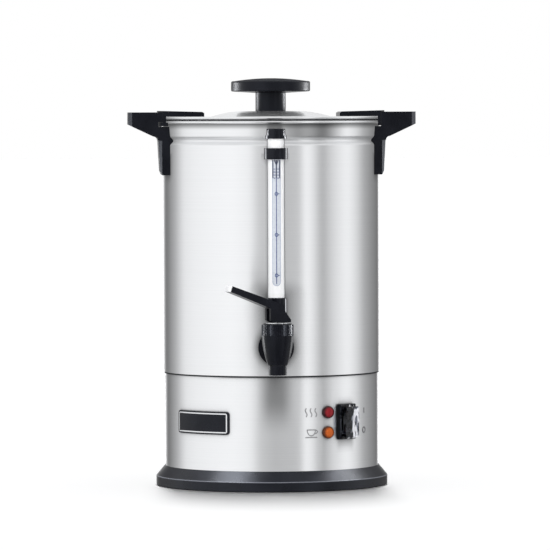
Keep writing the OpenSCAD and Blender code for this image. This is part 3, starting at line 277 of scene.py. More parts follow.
def shade(tree_nodes, links, reach, depth):
    """One in the open, less where something stands within reach."""
    nearby = add(tree_nodes, "ShaderNodeAmbientOcclusion", samples=SHADE_SAMPLES, Distance=reach)
    power = add(tree_nodes, "ShaderNodeMath", operation="POWER")
    power.inputs[1].default_value = depth
    links.new(nearby.outputs["AO"], power.inputs[0])
    return power.outputs["Value"]


def painted_dark_reflection(tree_nodes, links, height, image):
    """Soft painted dark reflection on the steel, upright, that is full in its core and fades to its edges."""
    flat = add(tree_nodes, "ShaderNodeVectorMath", operation="MULTIPLY")
    flat.inputs[1].default_value = (1, 1, 0)
    across = add(tree_nodes, "ShaderNodeVectorMath", operation="DISTANCE")
    turn = math.radians(image["angle"])
    across.inputs[1].default_value = (housing_r * math.sin(turn), -housing_r * math.cos(turn), 0)
    links.new(own_place(tree_nodes), flat.inputs[0])
    links.new(flat.outputs["Vector"], across.inputs[0])
    within = smooth(tree_nodes, links, across.outputs["Value"], image["edge"], image["core"])
    above = smooth(tree_nodes, links, height, image["low"], image["low_full"])
    below = smooth(tree_nodes, links, height, image["high"], image["high_full"])
    share = product(tree_nodes, links, [within, above, below])
    return mapped(tree_nodes, links, share, 0.0, 1.0, 1.0, image["level"])


def neck_shade(tree_nodes, links, height):
    """Shade on the neck under the rolled rim."""
    deepest = NECK_SHADE[0][0]
    share = mapped(tree_nodes, links, height, rim_z + deepest, rim_z)
    stops = [(1 - depth / deepest, level) for depth, level in NECK_SHADE]
    return levels(tree_nodes, links, share, stops)


def brushed_steel(name, dark, light, roughness, polished):
    """Stainless steel brushed round the urn's axis, with a polished rim and lid, and painted shade and
    painted dark reflections in its colour.
    """
    material, tree_nodes, links = new_material(name)
    shader = shader_of(tree_nodes)
    shader.inputs["Metallic"].default_value = 1.0
    shader.inputs["Anisotropic"].default_value = BRUSH_ANISOTROPY
    shader.inputs["Anisotropic Rotation"].default_value = BRUSH_TURN
    tangent = add(tree_nodes, "ShaderNodeTangent", direction_type="RADIAL", axis="Z")
    links.new(tangent.outputs["Tangent"], shader.inputs["Tangent"])
    lines = stretched_noise(tree_nodes, links, BRUSH_SCALE, 2.0)
    tone = two_tones(tree_nodes, links, lines, dark, light)
    satin = spread(tree_nodes, links, lines, roughness - BRUSH_UNEVEN, roughness + BRUSH_UNEVEN)
    z = own_height(tree_nodes, links)
    polish = mapped(tree_nodes, links, z, rim_z - POLISH_FROM, rim_z - POLISH_FULL)
    links.new(mixed(tree_nodes, links, polish, satin, polished), shader.inputs["Roughness"])
    near_base = smooth(tree_nodes, links, z, CLOSE_LOW + CLOSE_FADE, CLOSE_LOW)
    near_neck = smooth(tree_nodes, links, z, CLOSE_HIGH - CLOSE_FADE, CLOSE_HIGH)
    close = shade(tree_nodes, links, CLOSE_REACH, CLOSE_DEPTH)
    near = larger(tree_nodes, links, [close, near_base, near_neck])
    far = distance_from(tree_nodes, links, behind_tap_at)
    away = smooth(tree_nodes, links, far, TAP_SHADE_R, 2 * TAP_SHADE_R)
    behind = larger(tree_nodes, links, [away, shade(tree_nodes, links, TAP_REACH, TAP_DEPTH)])
    # Painted dark reflections of the tap, the switch and the neck, multiplied into the steel's colour with
    # the painted shade
    painted_reflections = [painted_dark_reflection(tree_nodes, links, z, image) for image in (TAP_REFLECTION, SWITCH_REFLECTION, NECK_REFLECTION)]
    open_share = product(tree_nodes, links, [near, behind, neck_shade(tree_nodes, links, z), *painted_reflections])
    shaded = add(tree_nodes, "ShaderNodeMixRGB", blend_type="MULTIPLY", Fac=1.0)
    links.new(tone, shaded.inputs["Color1"])
    links.new(open_share, shaded.inputs["Color2"])
    links.new(shaded.outputs["Color"], shader.inputs["Base Color"])
    return material


METAL_UNEVEN = 0.05


def plain_metal(name, dark, light, roughness, grain=600):
    """Sheet or turned metal with fine grain."""
    material, tree_nodes, links = new_material(name)
    shader = shader_of(tree_nodes)
    shader.inputs["Metallic"].default_value = 1.0
    noise = stretched_noise(tree_nodes, links, (grain, grain, grain))
    links.new(two_tones(tree_nodes, links, noise, dark, light), shader.inputs["Base Color"])
    uneven = spread(tree_nodes, links, noise, roughness - METAL_UNEVEN, roughness + METAL_UNEVEN)
    links.new(uneven, shader.inputs["Roughness"])
    return material


# Mouldings have a cool gloss, a skin of fine grain, and cloudy changes of tone and roughness
COOL_GLOSS = (0.80, 0.86, 1.0, 1)
SKIN_STRENGTH = 0.05
CLOUD_SCALE, CLOUD_UNEVEN = (45, 45, 45), 0.04


def moulded(name, dark, light, roughness, specular, grain=1800, depth=0.05 * MM):
    """Moulded plastic or rubber with a fine grained skin and a cool gloss."""
    material, tree_nodes, links = new_material(name)
    shader = shader_of(tree_nodes)
    shader.inputs["Specular IOR Level"].default_value = specular
    shader.inputs["Specular Tint"].default_value = COOL_GLOSS
    skin = stretched_noise(tree_nodes, links, (grain, grain, grain))
    cloud = stretched_noise(tree_nodes, links, CLOUD_SCALE, 2.0)
    links.new(two_tones(tree_nodes, links, cloud, dark, light), shader.inputs["Base Color"])
    uneven = spread(tree_nodes, links, cloud, roughness - CLOUD_UNEVEN, roughness + CLOUD_UNEVEN)
    links.new(uneven, shader.inputs["Roughness"])
    bump(tree_nodes, links, skin, SKIN_STRENGTH, depth)
    return material


CLEAR_IOR, HAZE_SCALE, HAZE_UNEVEN = 1.47, (90, 90, 40), 0.05


def clear(name, face, edge, roughness, clearness, edge_from, edge_full):
    """Clear plastic with a milky face and painted dark edges that stand in for what a glass tube's edges
    refract.
    """
    material, tree_nodes, links = new_material(name)
    shader = shader_of(tree_nodes)
    shader.inputs["Transmission Weight"].default_value = clearness
    shader.inputs["IOR"].default_value = CLEAR_IOR
    # Painted shade: the colour darkens as the face turns away from the view
    glance = add(tree_nodes, "ShaderNodeLayerWeight", Blend=0.5)
    share = mapped(tree_nodes, links, glance.outputs["Facing"], edge_from, edge_full)
    links.new(two_tones(tree_nodes, links, share, face, edge), shader.inputs["Base Color"])
    haze = stretched_noise(tree_nodes, links, HAZE_SCALE, 2.0)
    uneven = spread(tree_nodes, links, haze, roughness, roughness + HAZE_UNEVEN)
    links.new(uneven, shader.inputs["Roughness"])
    return material


# The switch's cover: soft film, with painted highlights on its creases towards the cover's outer side
FILM_IOR, FILM_ROUGHNESS, FILM_HIGHLIGHT_CLEARNESS = 1.3, 0.06, 0.25
FILM_PLAIN, FILM_HIGHLIGHT = (0.55, 0.57, 0.62), (0.95, 0.96, 1.0)
HIGHLIGHT_FROM, HIGHLIGHT_FULL = -5 * MM, 2 * MM
CREASE_SCALE, CREASE_FROM, CREASE_FULL = (300, 300, 110), 0.45, 0.60
CREASE_STRENGTH, CREASE_DEPTH = 0.4, 0.8 * MM


def creased(name):
    """Soft clear cover, dark where it lies flat, with painted highlights on the creases of its outer side."""
    material, tree_nodes, links = new_material(name)
    shader = shader_of(tree_nodes)
    shader.inputs["IOR"].default_value = FILM_IOR
    shader.inputs["Roughness"].default_value = FILM_ROUGHNESS
    along = add(tree_nodes, "ShaderNodeVectorMath", operation="DOT_PRODUCT")
    along.inputs[1].default_value = (math.cos(switch_angle), math.sin(switch_angle), 0)
    links.new(own_place(tree_nodes), along.inputs[0])
    side = mapped(tree_nodes, links, along.outputs["Value"], HIGHLIGHT_FROM, HIGHLIGHT_FULL)
    folds = stretched_noise(tree_nodes, links, CREASE_SCALE, 1.0)
    crease = mapped(tree_nodes, links, folds, CREASE_FROM, CREASE_FULL)
    # Painted highlights: the creases turn white towards the cover's outer side
    white = product(tree_nodes, links, [side, crease])
    clearness = spread(tree_nodes, links, white, 1.0, FILM_HIGHLIGHT_CLEARNESS)
    links.new(clearness, shader.inputs["Transmission Weight"])
    links.new(two_tones(tree_nodes, links, white, FILM_PLAIN, FILM_HIGHLIGHT), shader.inputs["Base Color"])
    bump(tree_nodes, links, folds, CREASE_STRENGTH, CREASE_DEPTH)
    return material


# Lamps: gloss, the radii between which their painted glow darkens to a painted dark rim, and their facets
LENS_ROUGHNESS, LENS_SPECULAR = 0.2, 0.3
LENS_CORE_R, LENS_RIM_R = 2.6 * MM, 7.6 * MM
FACET_SCALE, FACET_STRENGTH, FACET_DEPTH = (420, 420, 420), 0.3, 0.2 * MM


def lens(name, centre, core, rim):
    """Lamp lens with a painted glow at its core that darkens to painted shade at its rim, with a glossy face.
    """
    material, tree_nodes, links = new_material(name)
    shader = shader_of(tree_nodes)
    shader.inputs["Roughness"].default_value = LENS_ROUGHNESS
    shader.inputs["Specular IOR Level"].default_value = LENS_SPECULAR
    # Painted glow and shade: brighter colour at the lens's core, darker towards its rim
    share = mapped(tree_nodes, links, distance_from(tree_nodes, links, centre), LENS_CORE_R, LENS_RIM_R)
    links.new(two_tones(tree_nodes, links, share, core, rim), shader.inputs["Base Color"])
    facets = stretched_noise(tree_nodes, links, FACET_SCALE, 1.0)
    bump(tree_nodes, links, facets, FACET_STRENGTH, FACET_DEPTH)
    return material


INK_SCALE = (500, 500, 500)


def printed(name, dark, light, roughness):
    """Printed film or ink, a little uneven."""
    material, tree_nodes, links = new_material(name)
    noise = stretched_noise(tree_nodes, links, INK_SCALE, 2.0)
    shader = shader_of(tree_nodes)
    links.new(two_tones(tree_nodes, links, noise, dark, light), shader.inputs["Base Color"])
    shader.inputs["Roughness"].default_value = roughness
    return material


BLACK = (0.0035, 0.0037, 0.0055)
BLACK_WORN = (0.0060, 0.0063, 0.0090)
# Finish of each material slot of the record: its tones, then roughness, gloss and grain
finishes = {
    "brushed_steel": brushed_steel("steel_brushed", (0.795, 0.805, 0.82), (0.82, 0.83, 0.845), 0.30, 0.26),
    "inner_steel": plain_metal("steel_inner", (0.58, 0.59, 0.60), (0.66, 0.67, 0.68), 0.32),
    "screw_steel": plain_metal("steel_plated", (0.55, 0.56, 0.58), (0.64, 0.65, 0.67), 0.25),
    "black_plastic": moulded("plastic_black", BLACK, BLACK_WORN, 0.30, 0.14),
    "tap_plastic": moulded("plastic_tap", BLACK, BLACK_WORN, 0.26, 0.14, 1400),
    "rocker_plastic": moulded("plastic_rocker", BLACK, BLACK_WORN, 0.25, 0.12, 900, 0.02 * MM),
    "black_rubber": moulded("rubber_black", (0.016, 0.016, 0.017), (0.026, 0.026, 0.027), 0.75, 0.25),
    "pale_rubber": moulded("rubber_pale", (0.58, 0.56, 0.50), (0.68, 0.66, 0.60), 0.5, 0.4),
    "clear_tube": clear("tube_clear", (0.97, 0.975, 0.985), (0.07, 0.075, 0.09), 0.04, 0.08, 0.40, 0.74),
    "clear_boot": creased("boot_clear"),
    "scale_print": printed("scale_film", (0.53, 0.56, 0.62), (0.60, 0.63, 0.68), 0.3),
    "heater_aluminium": plain_metal("aluminium_cast", (0.52, 0.53, 0.54), (0.62, 0.63, 0.64), 0.48, 350),
    "element_steel": plain_metal("element_sheath", (0.16, 0.16, 0.17), (0.26, 0.25, 0.25), 0.5, 250),
    "thermostat_plastic": moulded("ceramic_white", (0.66, 0.63, 0.55), (0.76, 0.73, 0.65), 0.55, 0.4),
    "wire_insulation": moulded("wire_red", (0.30, 0.035, 0.02), (0.40, 0.06, 0.035), 0.5, 0.4),
    "contact_brass": plain_metal("brass_contact", (0.62, 0.47, 0.20), (0.72, 0.57, 0.28), 0.3),
    "badge_black": moulded("badge_black", BLACK, BLACK_WORN, 0.2, 0.22, 900, 0.02 * MM),
    "badge_silver": plain_metal("badge_silver", (0.66, 0.67, 0.69), (0.76, 0.77, 0.79), 0.2),
    "lens_red": lens("lens_red", middle(red_low, red_high), (0.24, 0.004, 0.010), (0.03, 0.001, 0.003)),
    "lens_amber": lens("lens_amber", middle(amber_low, amber_high), (0.52, 0.1, 0.008), (0.09, 0.02, 0.003)),
}


def painted_edge_highlight(material, z, half, colour):
    """Lightens a moulding along an edge at a height, as a painted highlight."""
    tree_nodes, links = material.node_tree.nodes, material.node_tree.links
    shader = shader_of(tree_nodes)
    plain = shader.inputs["Base Color"].links[0].from_socket
    near = add(tree_nodes, "ShaderNodeMath", operation="COMPARE")
    near.inputs[1].default_value = z
    near.inputs[2].default_value = half
    links.new(own_height(tree_nodes, links), near.inputs[0])
    mix = add(tree_nodes, "ShaderNodeMixRGB")
    mix.inputs["Color2"].default_value = (*colour, 1)
    links.new(near.outputs["Value"], mix.inputs["Fac"])
    links.new(plain, mix.inputs["Color1"])
    links.new(mix.outputs["Color"], shader.inputs["Base Color"])


def satin_top(material, z, fade, roughness):
    """Makes a moulding rougher above a height."""
    tree_nodes, links = material.node_tree.nodes, material.node_tree.links
    shader = shader_of(tree_nodes)
    plain = shader.inputs["Roughness"].links[0].from_socket
    above = smooth(tree_nodes, links, own_height(tree_nodes, links), z, z + fade)
    links.new(mixed(tree_nodes, links, above, plain, roughness), shader.inputs["Roughness"])


mark_grey = printed("mark_grey", (0.20, 0.20, 0.21), (0.28, 0.28, 0.29), 0.45)
mark_blue = printed("mark_blue", (0.05, 0.07, 0.20), (0.09, 0.12, 0.28), 0.35)
mark_navy = printed("mark_navy", (0.008, 0.012, 0.045), (0.020, 0.028, 0.085), 0.35)
mark_pale_blue = printed("mark_pale_blue", (0.33, 0.37, 0.50), (0.42, 0.46, 0.58), 0.35)

# The base has a painted highlight along the line where its slope meets its band
EDGE_HALF, EDGE_HIGHLIGHT = 0.5 * MM, (0.120, 0.126, 0.145)
base_plastic = moulded("plastic_base", BLACK, BLACK_WORN, 0.30, 0.30)
painted_edge_highlight(base_plastic, base_edge_z, EDGE_HALF, EDGE_HIGHLIGHT)
# The gauge's fittings are glossier than the other mouldings, and the knob is satin on its crown
CROWN_H, CROWN_FADE, CROWN_ROUGHNESS = 3.4 * MM, 0.4 * MM, 0.8
gauge_plastic = moulded("plastic_gloss", BLACK, BLACK_WORN, 0.12, 0.22, 900, 0.01 * MM)
knob_plastic = moulded("plastic_knob", BLACK, BLACK_WORN, 0.34, 0.22, 900, 0.002 * MM)
satin_top(knob_plastic, knob_top - CROWN_H, CROWN_FADE, CROWN_ROUGHNESS)
own_finishes = {
    "base_ring": base_plastic, "gauge_cap": gauge_plastic, "gauge_collar": gauge_plastic,
    "gauge_tee": gauge_plastic, "lid_knob": knob_plastic,
}
for part in frame["record"]["subparts"]:
    materials = nodes[part["node"]].data.materials
    materials.clear()
    materials.append(own_finishes.get(part["node"], finishes[part["material_slot"]]))

# The steel shows the studio, not the black mouldings beside it
for name in ("handle_left", "handle_right", "lid_tab_left", "lid_tab_right", "base_ring"):
    nodes[name].visible_glossy = False

# Softened edges on the moulded pieces, with widths in mm
SOFT_EDGES = {
    "handle_left": 0.9, "handle_right": 0.9, "lid_tab_left": 0.6, "lid_tab_right": 0.6, "base_ring": 0.5,
    "tap_lever": 0.6, "switch_body": 0.6, "switch_rocker": 0.4, "switch_boot": 0.6, "badge": 0.3,
    "gauge_collar": 0.3, "power_inlet": 0.5,
}
SOFT_STEPS, SOFT_ANGLE = 2, math.radians(35)
for name, width in SOFT_EDGES.items():
    edge = nodes[name].modifiers.new("soft_edges", "BEVEL")
    edge.width = width * MM
    edge.segments = SOFT_STEPS
    edge.limit_method = "ANGLE"
    edge.angle_limit = SOFT_ANGLE
    edge.harden_normals = False


# Pieces added to the frame

def on_housing(angle, across, z):
    """Point on the housing, measured across from an angle round the urn."""
    a = angle + across / housing_r
    return Vector((housing_r * math.sin(a), -housing_r * math.cos(a), z))


def on_scale(across, z):
    """Point on the gauge's scale strip."""
    a = across / scale_r
    return Vector((scale_r * math.sin(a), gauge_y - scale_r * math.cos(a), z))


SAME_POINT = 0.0001 * MM


def strokes(name, lines, thickness, material):
    """Raised lines half sunk into a surface, each a list of points, closed where it ends at its start."""
    data = bpy.data.curves.new(name, "CURVE")
    data.dimensions = "3D"
    data.bevel_depth = thickness / 2
    data.bevel_resolution = 2
    data.use_fill_caps = True
    for line in lines:
        closed = (line[0] - line[-1]).length < SAME_POINT
        points = line[:-1] if closed else line
        spline = data.splines.new("POLY")
        spline.points.add(len(points) - 1)
        for place, point in zip(spline.points, points):
            place.co = (*point, 1)
        spline.use_cyclic_u = closed
    data.materials.append(material)
    piece = bpy.data.objects.new(name, data)
    bpy.context.scene.collection.objects.link(piece)
    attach(piece, URN_BODY)


def steps(count):
    """Shares from 0 to 1."""
    return [i / count for i in range(count + 1)]


def ring(place, across, z, radius_across, radius_up, count=20):
    """Closed oval on a surface."""
    turns = [2 * math.pi * t for t in steps(count)]
    return [place(across + radius_across * math.cos(t), z + radius_up * math.sin(t)) for t in turns]


def panel(across, z):
    """Point on the housing beside the lamps."""
    return on_housing(lamp_angle, across, z)


def beside_switch(across, z):
    """Point on the housing beside the switch."""
    return on_housing(switch_angle, across, z)


MARK_LINE = 0.8 * MM

# Three rising waves for the heating lamp
wave_pitch, wave_width, wave_height = 5.2 * MM, 0.9 * MM, 8.5 * MM
wave_from = -24 * MM
waves = [[panel(wave_from + wave_pitch * i + wave_width * math.sin(2 * math.pi * t),
                red_z + wave_height * (t - 0.5)) for t in steps(16)] for i in range(3)]
strokes("heat_mark", waves, MARK_LINE, mark_grey)

# Cup with a handle and a plate for the warming lamp
cup_at, cup_w, cup_h = -18.5 * MM, 9 * MM, 6 * MM
ear_w, ear_h = 2.2 * MM, 4 * MM
plate_w, plate_drop = 1.4 * cup_w, 1.6 * MM
cup_top = amber_z + cup_h / 2
cup_side = [panel(cup_at - cup_w / 2 * math.cos(math.pi * t), cup_top - cup_h * math.sin(math.pi * t))
            for t in steps(14)]
cup_rim = [panel(cup_at + cup_w * (t - 0.5), cup_top) for t in steps(6)]
cup_ear = [panel(cup_at + cup_w / 2 + ear_w * math.sin(math.pi * t), cup_top - ear_h * t) for t in steps(8)]
cup_plate = [panel(cup_at + plate_w * (t - 0.5), amber_z - cup_h / 2 - plate_drop) for t in steps(6)]
strokes("warm_mark", [cup_side, cup_rim, cup_ear, cup_plate], MARK_LINE, mark_grey)

# Bar and circle beside the switch
switch_mark_at, switch_mark_drop, switch_line = 30.5 * MM, 10 * MM, 1.2 * MM
bar_h, circle_across, circle_up = 5 * MM, 2.6 * MM, 2.8 * MM
bar = [beside_switch(switch_mark_at, switch_z + switch_mark_drop + bar_h * (t - 0.5)) for t in steps(2)]
circle = ring(beside_switch, switch_mark_at, switch_z - switch_mark_drop, circle_across, circle_up)
strokes("switch_marks", [bar, circle], switch_line, mark_grey)

# Level line and marks on the gauge's strip, inside a fine outline
print_line, outline_line, print_inset = 0.9 * MM, 0.6 * MM, 2 * MM
line_top, line_foot = scale_high.z - print_inset, scale_low.z + print_inset
level_line = [on_scale(0, line_top + (line_foot - line_top) * t) for t in steps(4)]
mark_zs = (300 * MM, 259 * MM, 218.5 * MM)
mark_across, mark_up, mark_tick = 1.4 * MM, 1.6 * MM, 1.6 * MM
mark_rings = [ring(on_scale, 0, z, mark_across, mark_up) for z in mark_zs]
mark_ticks = [[on_scale(mark_across + mark_tick * t, z) for t in steps(2)] for z in mark_zs]
strokes("level_print", [level_line, *mark_rings, *mark_ticks], print_line, mark_blue)

edge_w = scale_r * math.asin(scale_high.x / scale_r) - outline_line / 2
edge_top, edge_foot = scale_high.z - MM, scale_low.z + scale_high.x
outline = [on_scale(-edge_w, edge_top)]
outline += [on_scale(-edge_w * math.cos(math.pi * t), edge_foot - edge_w * math.sin(math.pi * t))
            for t in steps(14)]
outline += [on_scale(edge_w, edge_top)]
strokes("level_outline", [outline], outline_line, mark_pale_blue)

# Full mark at the top of the strip: an arrow on a short scale
full_line, full_tick, full_h = 1.2 * MM, 0.9 * MM, 18 * MM
arrow_half, arrow_h = 1.8 * MM, 6 * MM
full_top = scale_high.z - full_line / 2
full_foot = full_top - full_h
full_edge = edge_w - full_line / 2
arrow = [on_scale(-arrow_half, full_top), on_scale(0, full_top - arrow_h), on_scale(arrow_half, full_top)]
full_sides = [[on_scale(across, full_top + (full_foot - full_top) * t) for t in steps(4)]
              for across in (-full_edge, 0, full_edge)]
strokes("full_mark", [arrow, *full_sides], full_line, mark_navy)
tick_count, tick_pitch, tick_from, tick_to = 4, 3 * MM, 0.9 * MM, 2.6 * MM
full_ticks = [[on_scale(side * across, full_foot + tick_pitch * i) for across in (tick_from, tick_to)]
              for side in (-1, 1) for i in range(tick_count)]
strokes("full_ticks", full_ticks, full_tick, mark_blue)


def turned_ring(name, profile, material):
    """Ring round the urn's axis, from points of radius and height."""
    turns = 180
    size = len(profile)
    mesh = bmesh.new()
    rows = []
    for i in range(turns):
        a = 2 * math.pi * i / turns
        rows.append([mesh.verts.new((r * math.cos(a), r * math.sin(a), z)) for r, z in profile])
    for i in range(turns):
        near, far = rows[i], rows[(i + 1) % turns]
        for j in range(size):
            k = (j + 1) % size
            mesh.faces.new((near[j], near[k], far[k], far[j]))
    bmesh.ops.recalc_face_normals(mesh, faces=mesh.faces)
    data = bpy.data.meshes.new(name)
    mesh.to_mesh(data)
    mesh.free()
    data.materials.append(material)
    piece = bpy.data.objects.new(name, data)
    bpy.context.scene.collection.objects.link(piece)
    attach(piece, URN_BODY)


# Dark ring under the tank's lower edge: a painted shadow of the gap there
line_h, line_w, line_soft = 1.5 * MM, 1.1 * MM, 0.3 * MM
turned_ring("seam_shadow", [
    (housing_r, seam_z), (housing_r + line_w, seam_z), (housing_r + line_w, seam_z - line_h + line_soft),
    (housing_r + line_w - line_soft, seam_z - line_h), (housing_r, seam_z - line_h),
], finishes["black_rubber"])

# The tap's spring, as a copy with its own mesh in place of the frame's spring; the real spring shortens
# towards the bonnet as the stem lifts
spring = bpy.data.objects.new("spring_coil", nodes["tap_spring"].data.copy())
bpy.context.scene.collection.objects.link(spring)
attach(spring, URN_BODY)
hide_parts("tap_spring")
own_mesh(spring)


# Stage: floor, studio wall, light, world and camera

STAGE_NAMES = ("floor", "studio_wall")


def emptied(owner):
    """Node tree of a material or world, with nothing in it."""
    owner.use_nodes = True
    owner.node_tree.nodes.clear()
    return owner.node_tree.nodes, owner.node_tree.links


def stage_object(name, mesh, material):
    """Piece of the stage, which isn't part of the urn."""
    data = bpy.data.meshes.new(name)
    mesh.to_mesh(data)
    mesh.free()
    data.materials.append(material)
    piece = bpy.data.objects.new(name, data)
    bpy.context.scene.collection.objects.link(piece)
    return piece


def first_rays(tree_nodes, links, path):
    """One until a ray has met a matt surface, so that the background lights nothing."""
    first = add(tree_nodes, "ShaderNodeMath", operation="LESS_THAN")
    first.inputs[1].default_value = 0.5
    links.new(path.outputs["Diffuse Depth"], first.inputs[0])
    return first.outputs["Value"]


def background_rays(tree_nodes, links):
    """One for the rays that see the background: straight, from metal and through clear plastic."""
    path = add(tree_nodes, "ShaderNodeLightPath")
    rays = ("Is Camera Ray", "Is Glossy Ray", "Is Transmission Ray")
    seen = larger(tree_nodes, links, [path.outputs[ray] for ray in rays])
    return product(tree_nodes, links, [seen, first_rays(tree_nodes, links, path)])


def by_ray(tree_nodes, links, plain, seen, output):
    """One shader for the light, and another for the rays that see the background."""
    mix = add(tree_nodes, "ShaderNodeMixShader")
    out = add(tree_nodes, output)
    links.new(background_rays(tree_nodes, links), mix.inputs["Fac"])
    links.new(plain.outputs[0], mix.inputs[1])
    links.new(seen.outputs[0], mix.inputs[2])
    links.new(mix.outputs["Shader"], out.inputs["Surface"])


def make_floor():
    """Floor that looks white and keeps the urn's soft shadow."""
    half_size, paint_level, white_level = 40, 0.9, 1.05
    material = bpy.data.materials.new("floor_white")
    tree_nodes, links = emptied(material)
    paint = add(tree_nodes, "ShaderNodeBsdfDiffuse", Color=(paint_level, paint_level, paint_level, 1))
    white = add(tree_nodes, "ShaderNodeBsdfDiffuse", Color=(white_level, white_level, white_level, 1))
    by_ray(tree_nodes, links, paint, white, "ShaderNodeOutputMaterial")
    mesh = bmesh.new()
    bmesh.ops.create_grid(mesh, x_segments=1, y_segments=1, size=half_size)
    floor = stage_object("floor", mesh, material)
    floor.visible_glossy = False


# Brightness of the studio round the urn, by angle from the front towards +X
STUDIO = [
    (-180, 1.00), (-168, 0.90), (-158, 0.18), (-145, 0.24), (-125, 0.52), (-108, 1.02), (-90, 1.12),
    (-45, 1.22), (-24, 1.14), (-15, 0.72), (0, 0.62), (28, 0.64), (34, 1.30), (43, 1.00),
    (53, 0.42), (64, 0.80), (85, 1.17), (99, 0.92), (114, 0.50), (132, 0.32), (158, 0.16),
    (168, 0.90), (180, 1.00),
]
# The studio is an even white ceiling above, and darkens towards its floor
CEILING_FROM, CEILING_FULL = 1.0, 1.7
GROUND_FROM, GROUND_FULL, GROUND_LEVEL = -0.6, -1.6, 0.4


def make_studio_wall():
    """Round wall of soft boxes and flags, which only the glossy surfaces see."""
    wall_r, wall_low, wall_high, turns = 2.2, -3.0, 3.5, 72
    material = bpy.data.materials.new("studio_wall")
    tree_nodes, links = emptied(material)
    glow = add(tree_nodes, "ShaderNodeEmission")
    out = add(tree_nodes, "ShaderNodeOutputMaterial")
    links.new(glow.outputs["Emission"], out.inputs["Surface"])
    parts = add(tree_nodes, "ShaderNodeSeparateXYZ")
    links.new(own_place(tree_nodes), parts.inputs["Vector"])
    x, y, z = parts.outputs
    front = add(tree_nodes, "ShaderNodeMath", operation="MULTIPLY")
    front.inputs[1].default_value = -1.0
    links.new(y, front.inputs[0])
    turn = add(tree_nodes, "ShaderNodeMath", operation="ARCTAN2")
    links.new(x, turn.inputs[0])
    links.new(front.outputs["Value"], turn.inputs[1])
    share = mapped(tree_nodes, links, turn.outputs["Value"], -math.pi, math.pi)
    round_urn = levels(tree_nodes, links, share, [((angle + 180) / 360, level) for angle, level in STUDIO])
    rise = mapped(tree_nodes, links, z, CEILING_FROM, CEILING_FULL)
    ceiling = mixed(tree_nodes, links, rise, round_urn, 1.0)
    ground = mapped(tree_nodes, links, z, GROUND_FULL, GROUND_FROM, GROUND_LEVEL)
    path = add(tree_nodes, "ShaderNodeLightPath")
    level = product(tree_nodes, links, [ceiling, ground, first_rays(tree_nodes, links, path)])
    links.new(level, glow.inputs["Strength"])
    mesh = bmesh.new()
    angles = [2 * math.pi * i / turns for i in range(turns)]
    low = [mesh.verts.new((wall_r * math.cos(a), wall_r * math.sin(a), wall_low)) for a in angles]
    high = [mesh.verts.new((v.co.x, v.co.y, wall_high)) for v in low]
    for i in range(turns):
        j = (i + 1) % turns
        mesh.faces.new((low[i], low[j], high[j], high[i]))
    wall = stage_object("studio_wall", mesh, material)
    wall.visible_camera = False
    wall.visible_diffuse = False
    wall.visible_transmission = False
    wall.visible_shadow = False


def linked_nodes(name, node_names):
    """Collection of nodes for a light to be linked to."""
    collection = bpy.data.collections.new(name)
    for node_name in node_names:
        collection.objects.link(nodes[node_name])
    return collection


AIM_AT = Vector((0, 0, 0.25))


def aim(light, place):
    """Puts a light in its place, facing the urn."""
    light.location = place
    light.rotation_mode = "QUATERNION"
    light.rotation_quaternion = (AIM_AT - light.location).to_track_quat("-Z", "Y")
    bpy.context.scene.collection.objects.link(light)


def make_overheads():
    """Row of narrow lights from above to behind, so that the body's shadow falls to the front."""
    elevations, spread_angle, far, total = (58, 64, 70, 76, 82, 87), math.radians(7), 3.0, 2.4
    body = linked_nodes("body_shadow", ("base_ring", "foot_ring", "housing", "tank"))
    for elevation in elevations:
        lamp = bpy.data.lights.new("overhead", "SUN")
        lamp.angle = spread_angle
        lamp.energy = total / len(elevations)
        light = bpy.data.objects.new("overhead", lamp)
        light.visible_glossy = False
        light.light_linking.blocker_collection = body
        up = math.radians(elevation)
        aim(light, AIM_AT + far * Vector((0, math.cos(up), math.sin(up))))


def make_front_fill():
    """Soft light from the front for the urn alone, so that the floor keeps its shadow."""
    place, spread_angle, power = Vector((-0.4, -2.7, 1.5)), math.radians(70), 2.6
    lit = bpy.data.collections.new("urn_pieces")
    for piece in bpy.context.scene.objects:
        if piece.type in ("MESH", "CURVE") and piece.name not in STAGE_NAMES:
            lit.objects.link(piece)
    lamp = bpy.data.lights.new("front_fill", "SUN")
    lamp.angle = spread_angle
    lamp.energy = power
    light = bpy.data.objects.new("front_fill", lamp)
    light.visible_glossy = False
    light.light_linking.receiver_collection = lit
    aim(light, place)


def make_strip(name, lit, place, width, height, power):
    """Strip of light that only the black mouldings in a collection see."""
    lamp = bpy.data.lights.new(name, "AREA")
    lamp.shape = "RECTANGLE"
    lamp.size = width
    lamp.size_y = height
    lamp.energy = power
    strip = bpy.data.objects.new(name, lamp)
    strip.light_linking.receiver_collection = lit
    aim(strip, Vector(place))


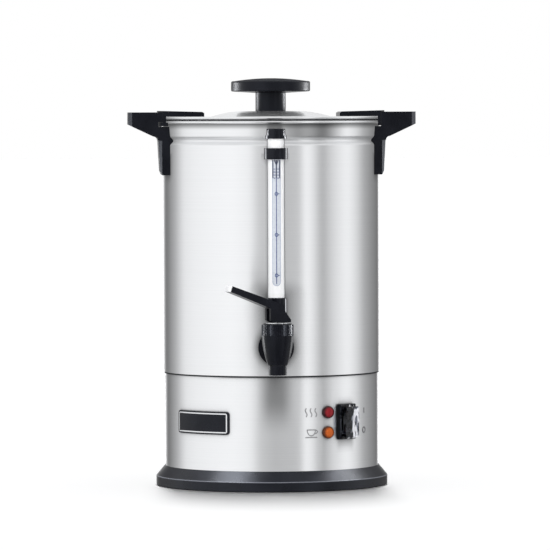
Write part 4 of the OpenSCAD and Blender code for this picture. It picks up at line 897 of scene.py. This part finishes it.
def make_strips():
    """Strips, most below the tops that they pass, for the edges of black mouldings and for the base."""
    tap = linked_nodes("tap_rim", ("tap_body", "tap_flange"))
    bonnet = linked_nodes("bonnet_rim", ("tap_bonnet",))
    knob = linked_nodes("knob_rim", ("lid_knob",))
    cap = linked_nodes("cap_rim", ("gauge_cap",))
    gauge = linked_nodes("gauge_rim", ("gauge_collar", "gauge_tee"))
    lever = linked_nodes("lever_end", ("tap_lever",))
    handles = linked_nodes("chamfer", ("handle_left", "handle_right"))
    base = linked_nodes("base_sheen", ("base_ring",))
    for side, tap_power, bonnet_power in ((-1, 7, 32), (1, 4, 64)):
        make_strip("tap_rim", tap, (side * 1.58, 1.19, -0.10), width=0.7, height=0.5, power=tap_power)
        make_strip("bonnet_rim", bonnet, (side * 1.85, 0.60, 0.00), width=1.2, height=0.3, power=bonnet_power)
        make_strip("bonnet_ribs", bonnet, (side * 1.5, -1.3, 0.25), width=0.5, height=0.5, power=14)
        make_strip("knob_rim", knob, (side * 1.65, 1.05, 0.12), width=0.7, height=0.5, power=34)
        make_strip("cap_rim", cap, (side * 1.60, 1.10, 0.10), width=1.5, height=0.5, power=90)
        make_strip("gauge_rim", gauge, (side * 1.60, 1.10, 0.10), width=1.5, height=0.5, power=28)
        make_strip("lever_end", lever, (side * 1.45, 1.35, 0.75), width=0.5, height=0.45, power=14)
        make_strip("chamfer", handles, (side * 2.0, 0.05, 0.05), width=0.7, height=0.5, power=22)
    make_strip("base_left", base, (-1.0, -0.38, 1.9), width=0.9, height=0.9, power=34)
    make_strip("base_right", base, (1.45, 0.36, 1.6), width=0.9, height=0.9, power=22)


def make_world():
    """Even studio light, which the camera, metal and clear plastic see as white."""
    cool_white, strength = (0.97, 0.98, 1.0, 1), 0.28
    world = bpy.data.worlds.new("studio")
    bpy.context.scene.world = world
    tree_nodes, links = emptied(world)
    light = add(tree_nodes, "ShaderNodeBackground", Color=cool_white, Strength=strength)
    white = add(tree_nodes, "ShaderNodeBackground", Color=(1, 1, 1, 1), Strength=1.0)
    by_ray(tree_nodes, links, light, white, "ShaderNodeOutputWorld")


def make_camera():
    """Long lens, level with the rim and a little to the left."""
    azimuth, distance, height, roll = math.radians(-2.4), 5.1, 0.377, math.radians(0.2)
    centre, picture_width = Vector((0.0039, 0, 0.2147)), 0.56375
    data = bpy.data.cameras.new("camera")
    data.sensor_width = 36
    data.lens = data.sensor_width * distance / picture_width
    data.clip_end = 100
    camera = bpy.data.objects.new("camera", data)
    camera.location = (centre.x + distance * math.sin(azimuth), -distance * math.cos(azimuth), height)
    camera.rotation_mode = "QUATERNION"
    look = (centre - camera.location).to_track_quat("-Z", "Y")
    camera.rotation_quaternion = look @ Quaternion((0, 0, 1), -roll)
    bpy.context.scene.collection.objects.link(camera)
    bpy.context.scene.camera = camera


make_floor()
make_studio_wall()
make_overheads()
make_front_fill()
make_strips()
make_world()
make_camera()
bpy.context.scene.view_settings.view_transform = "Standard"
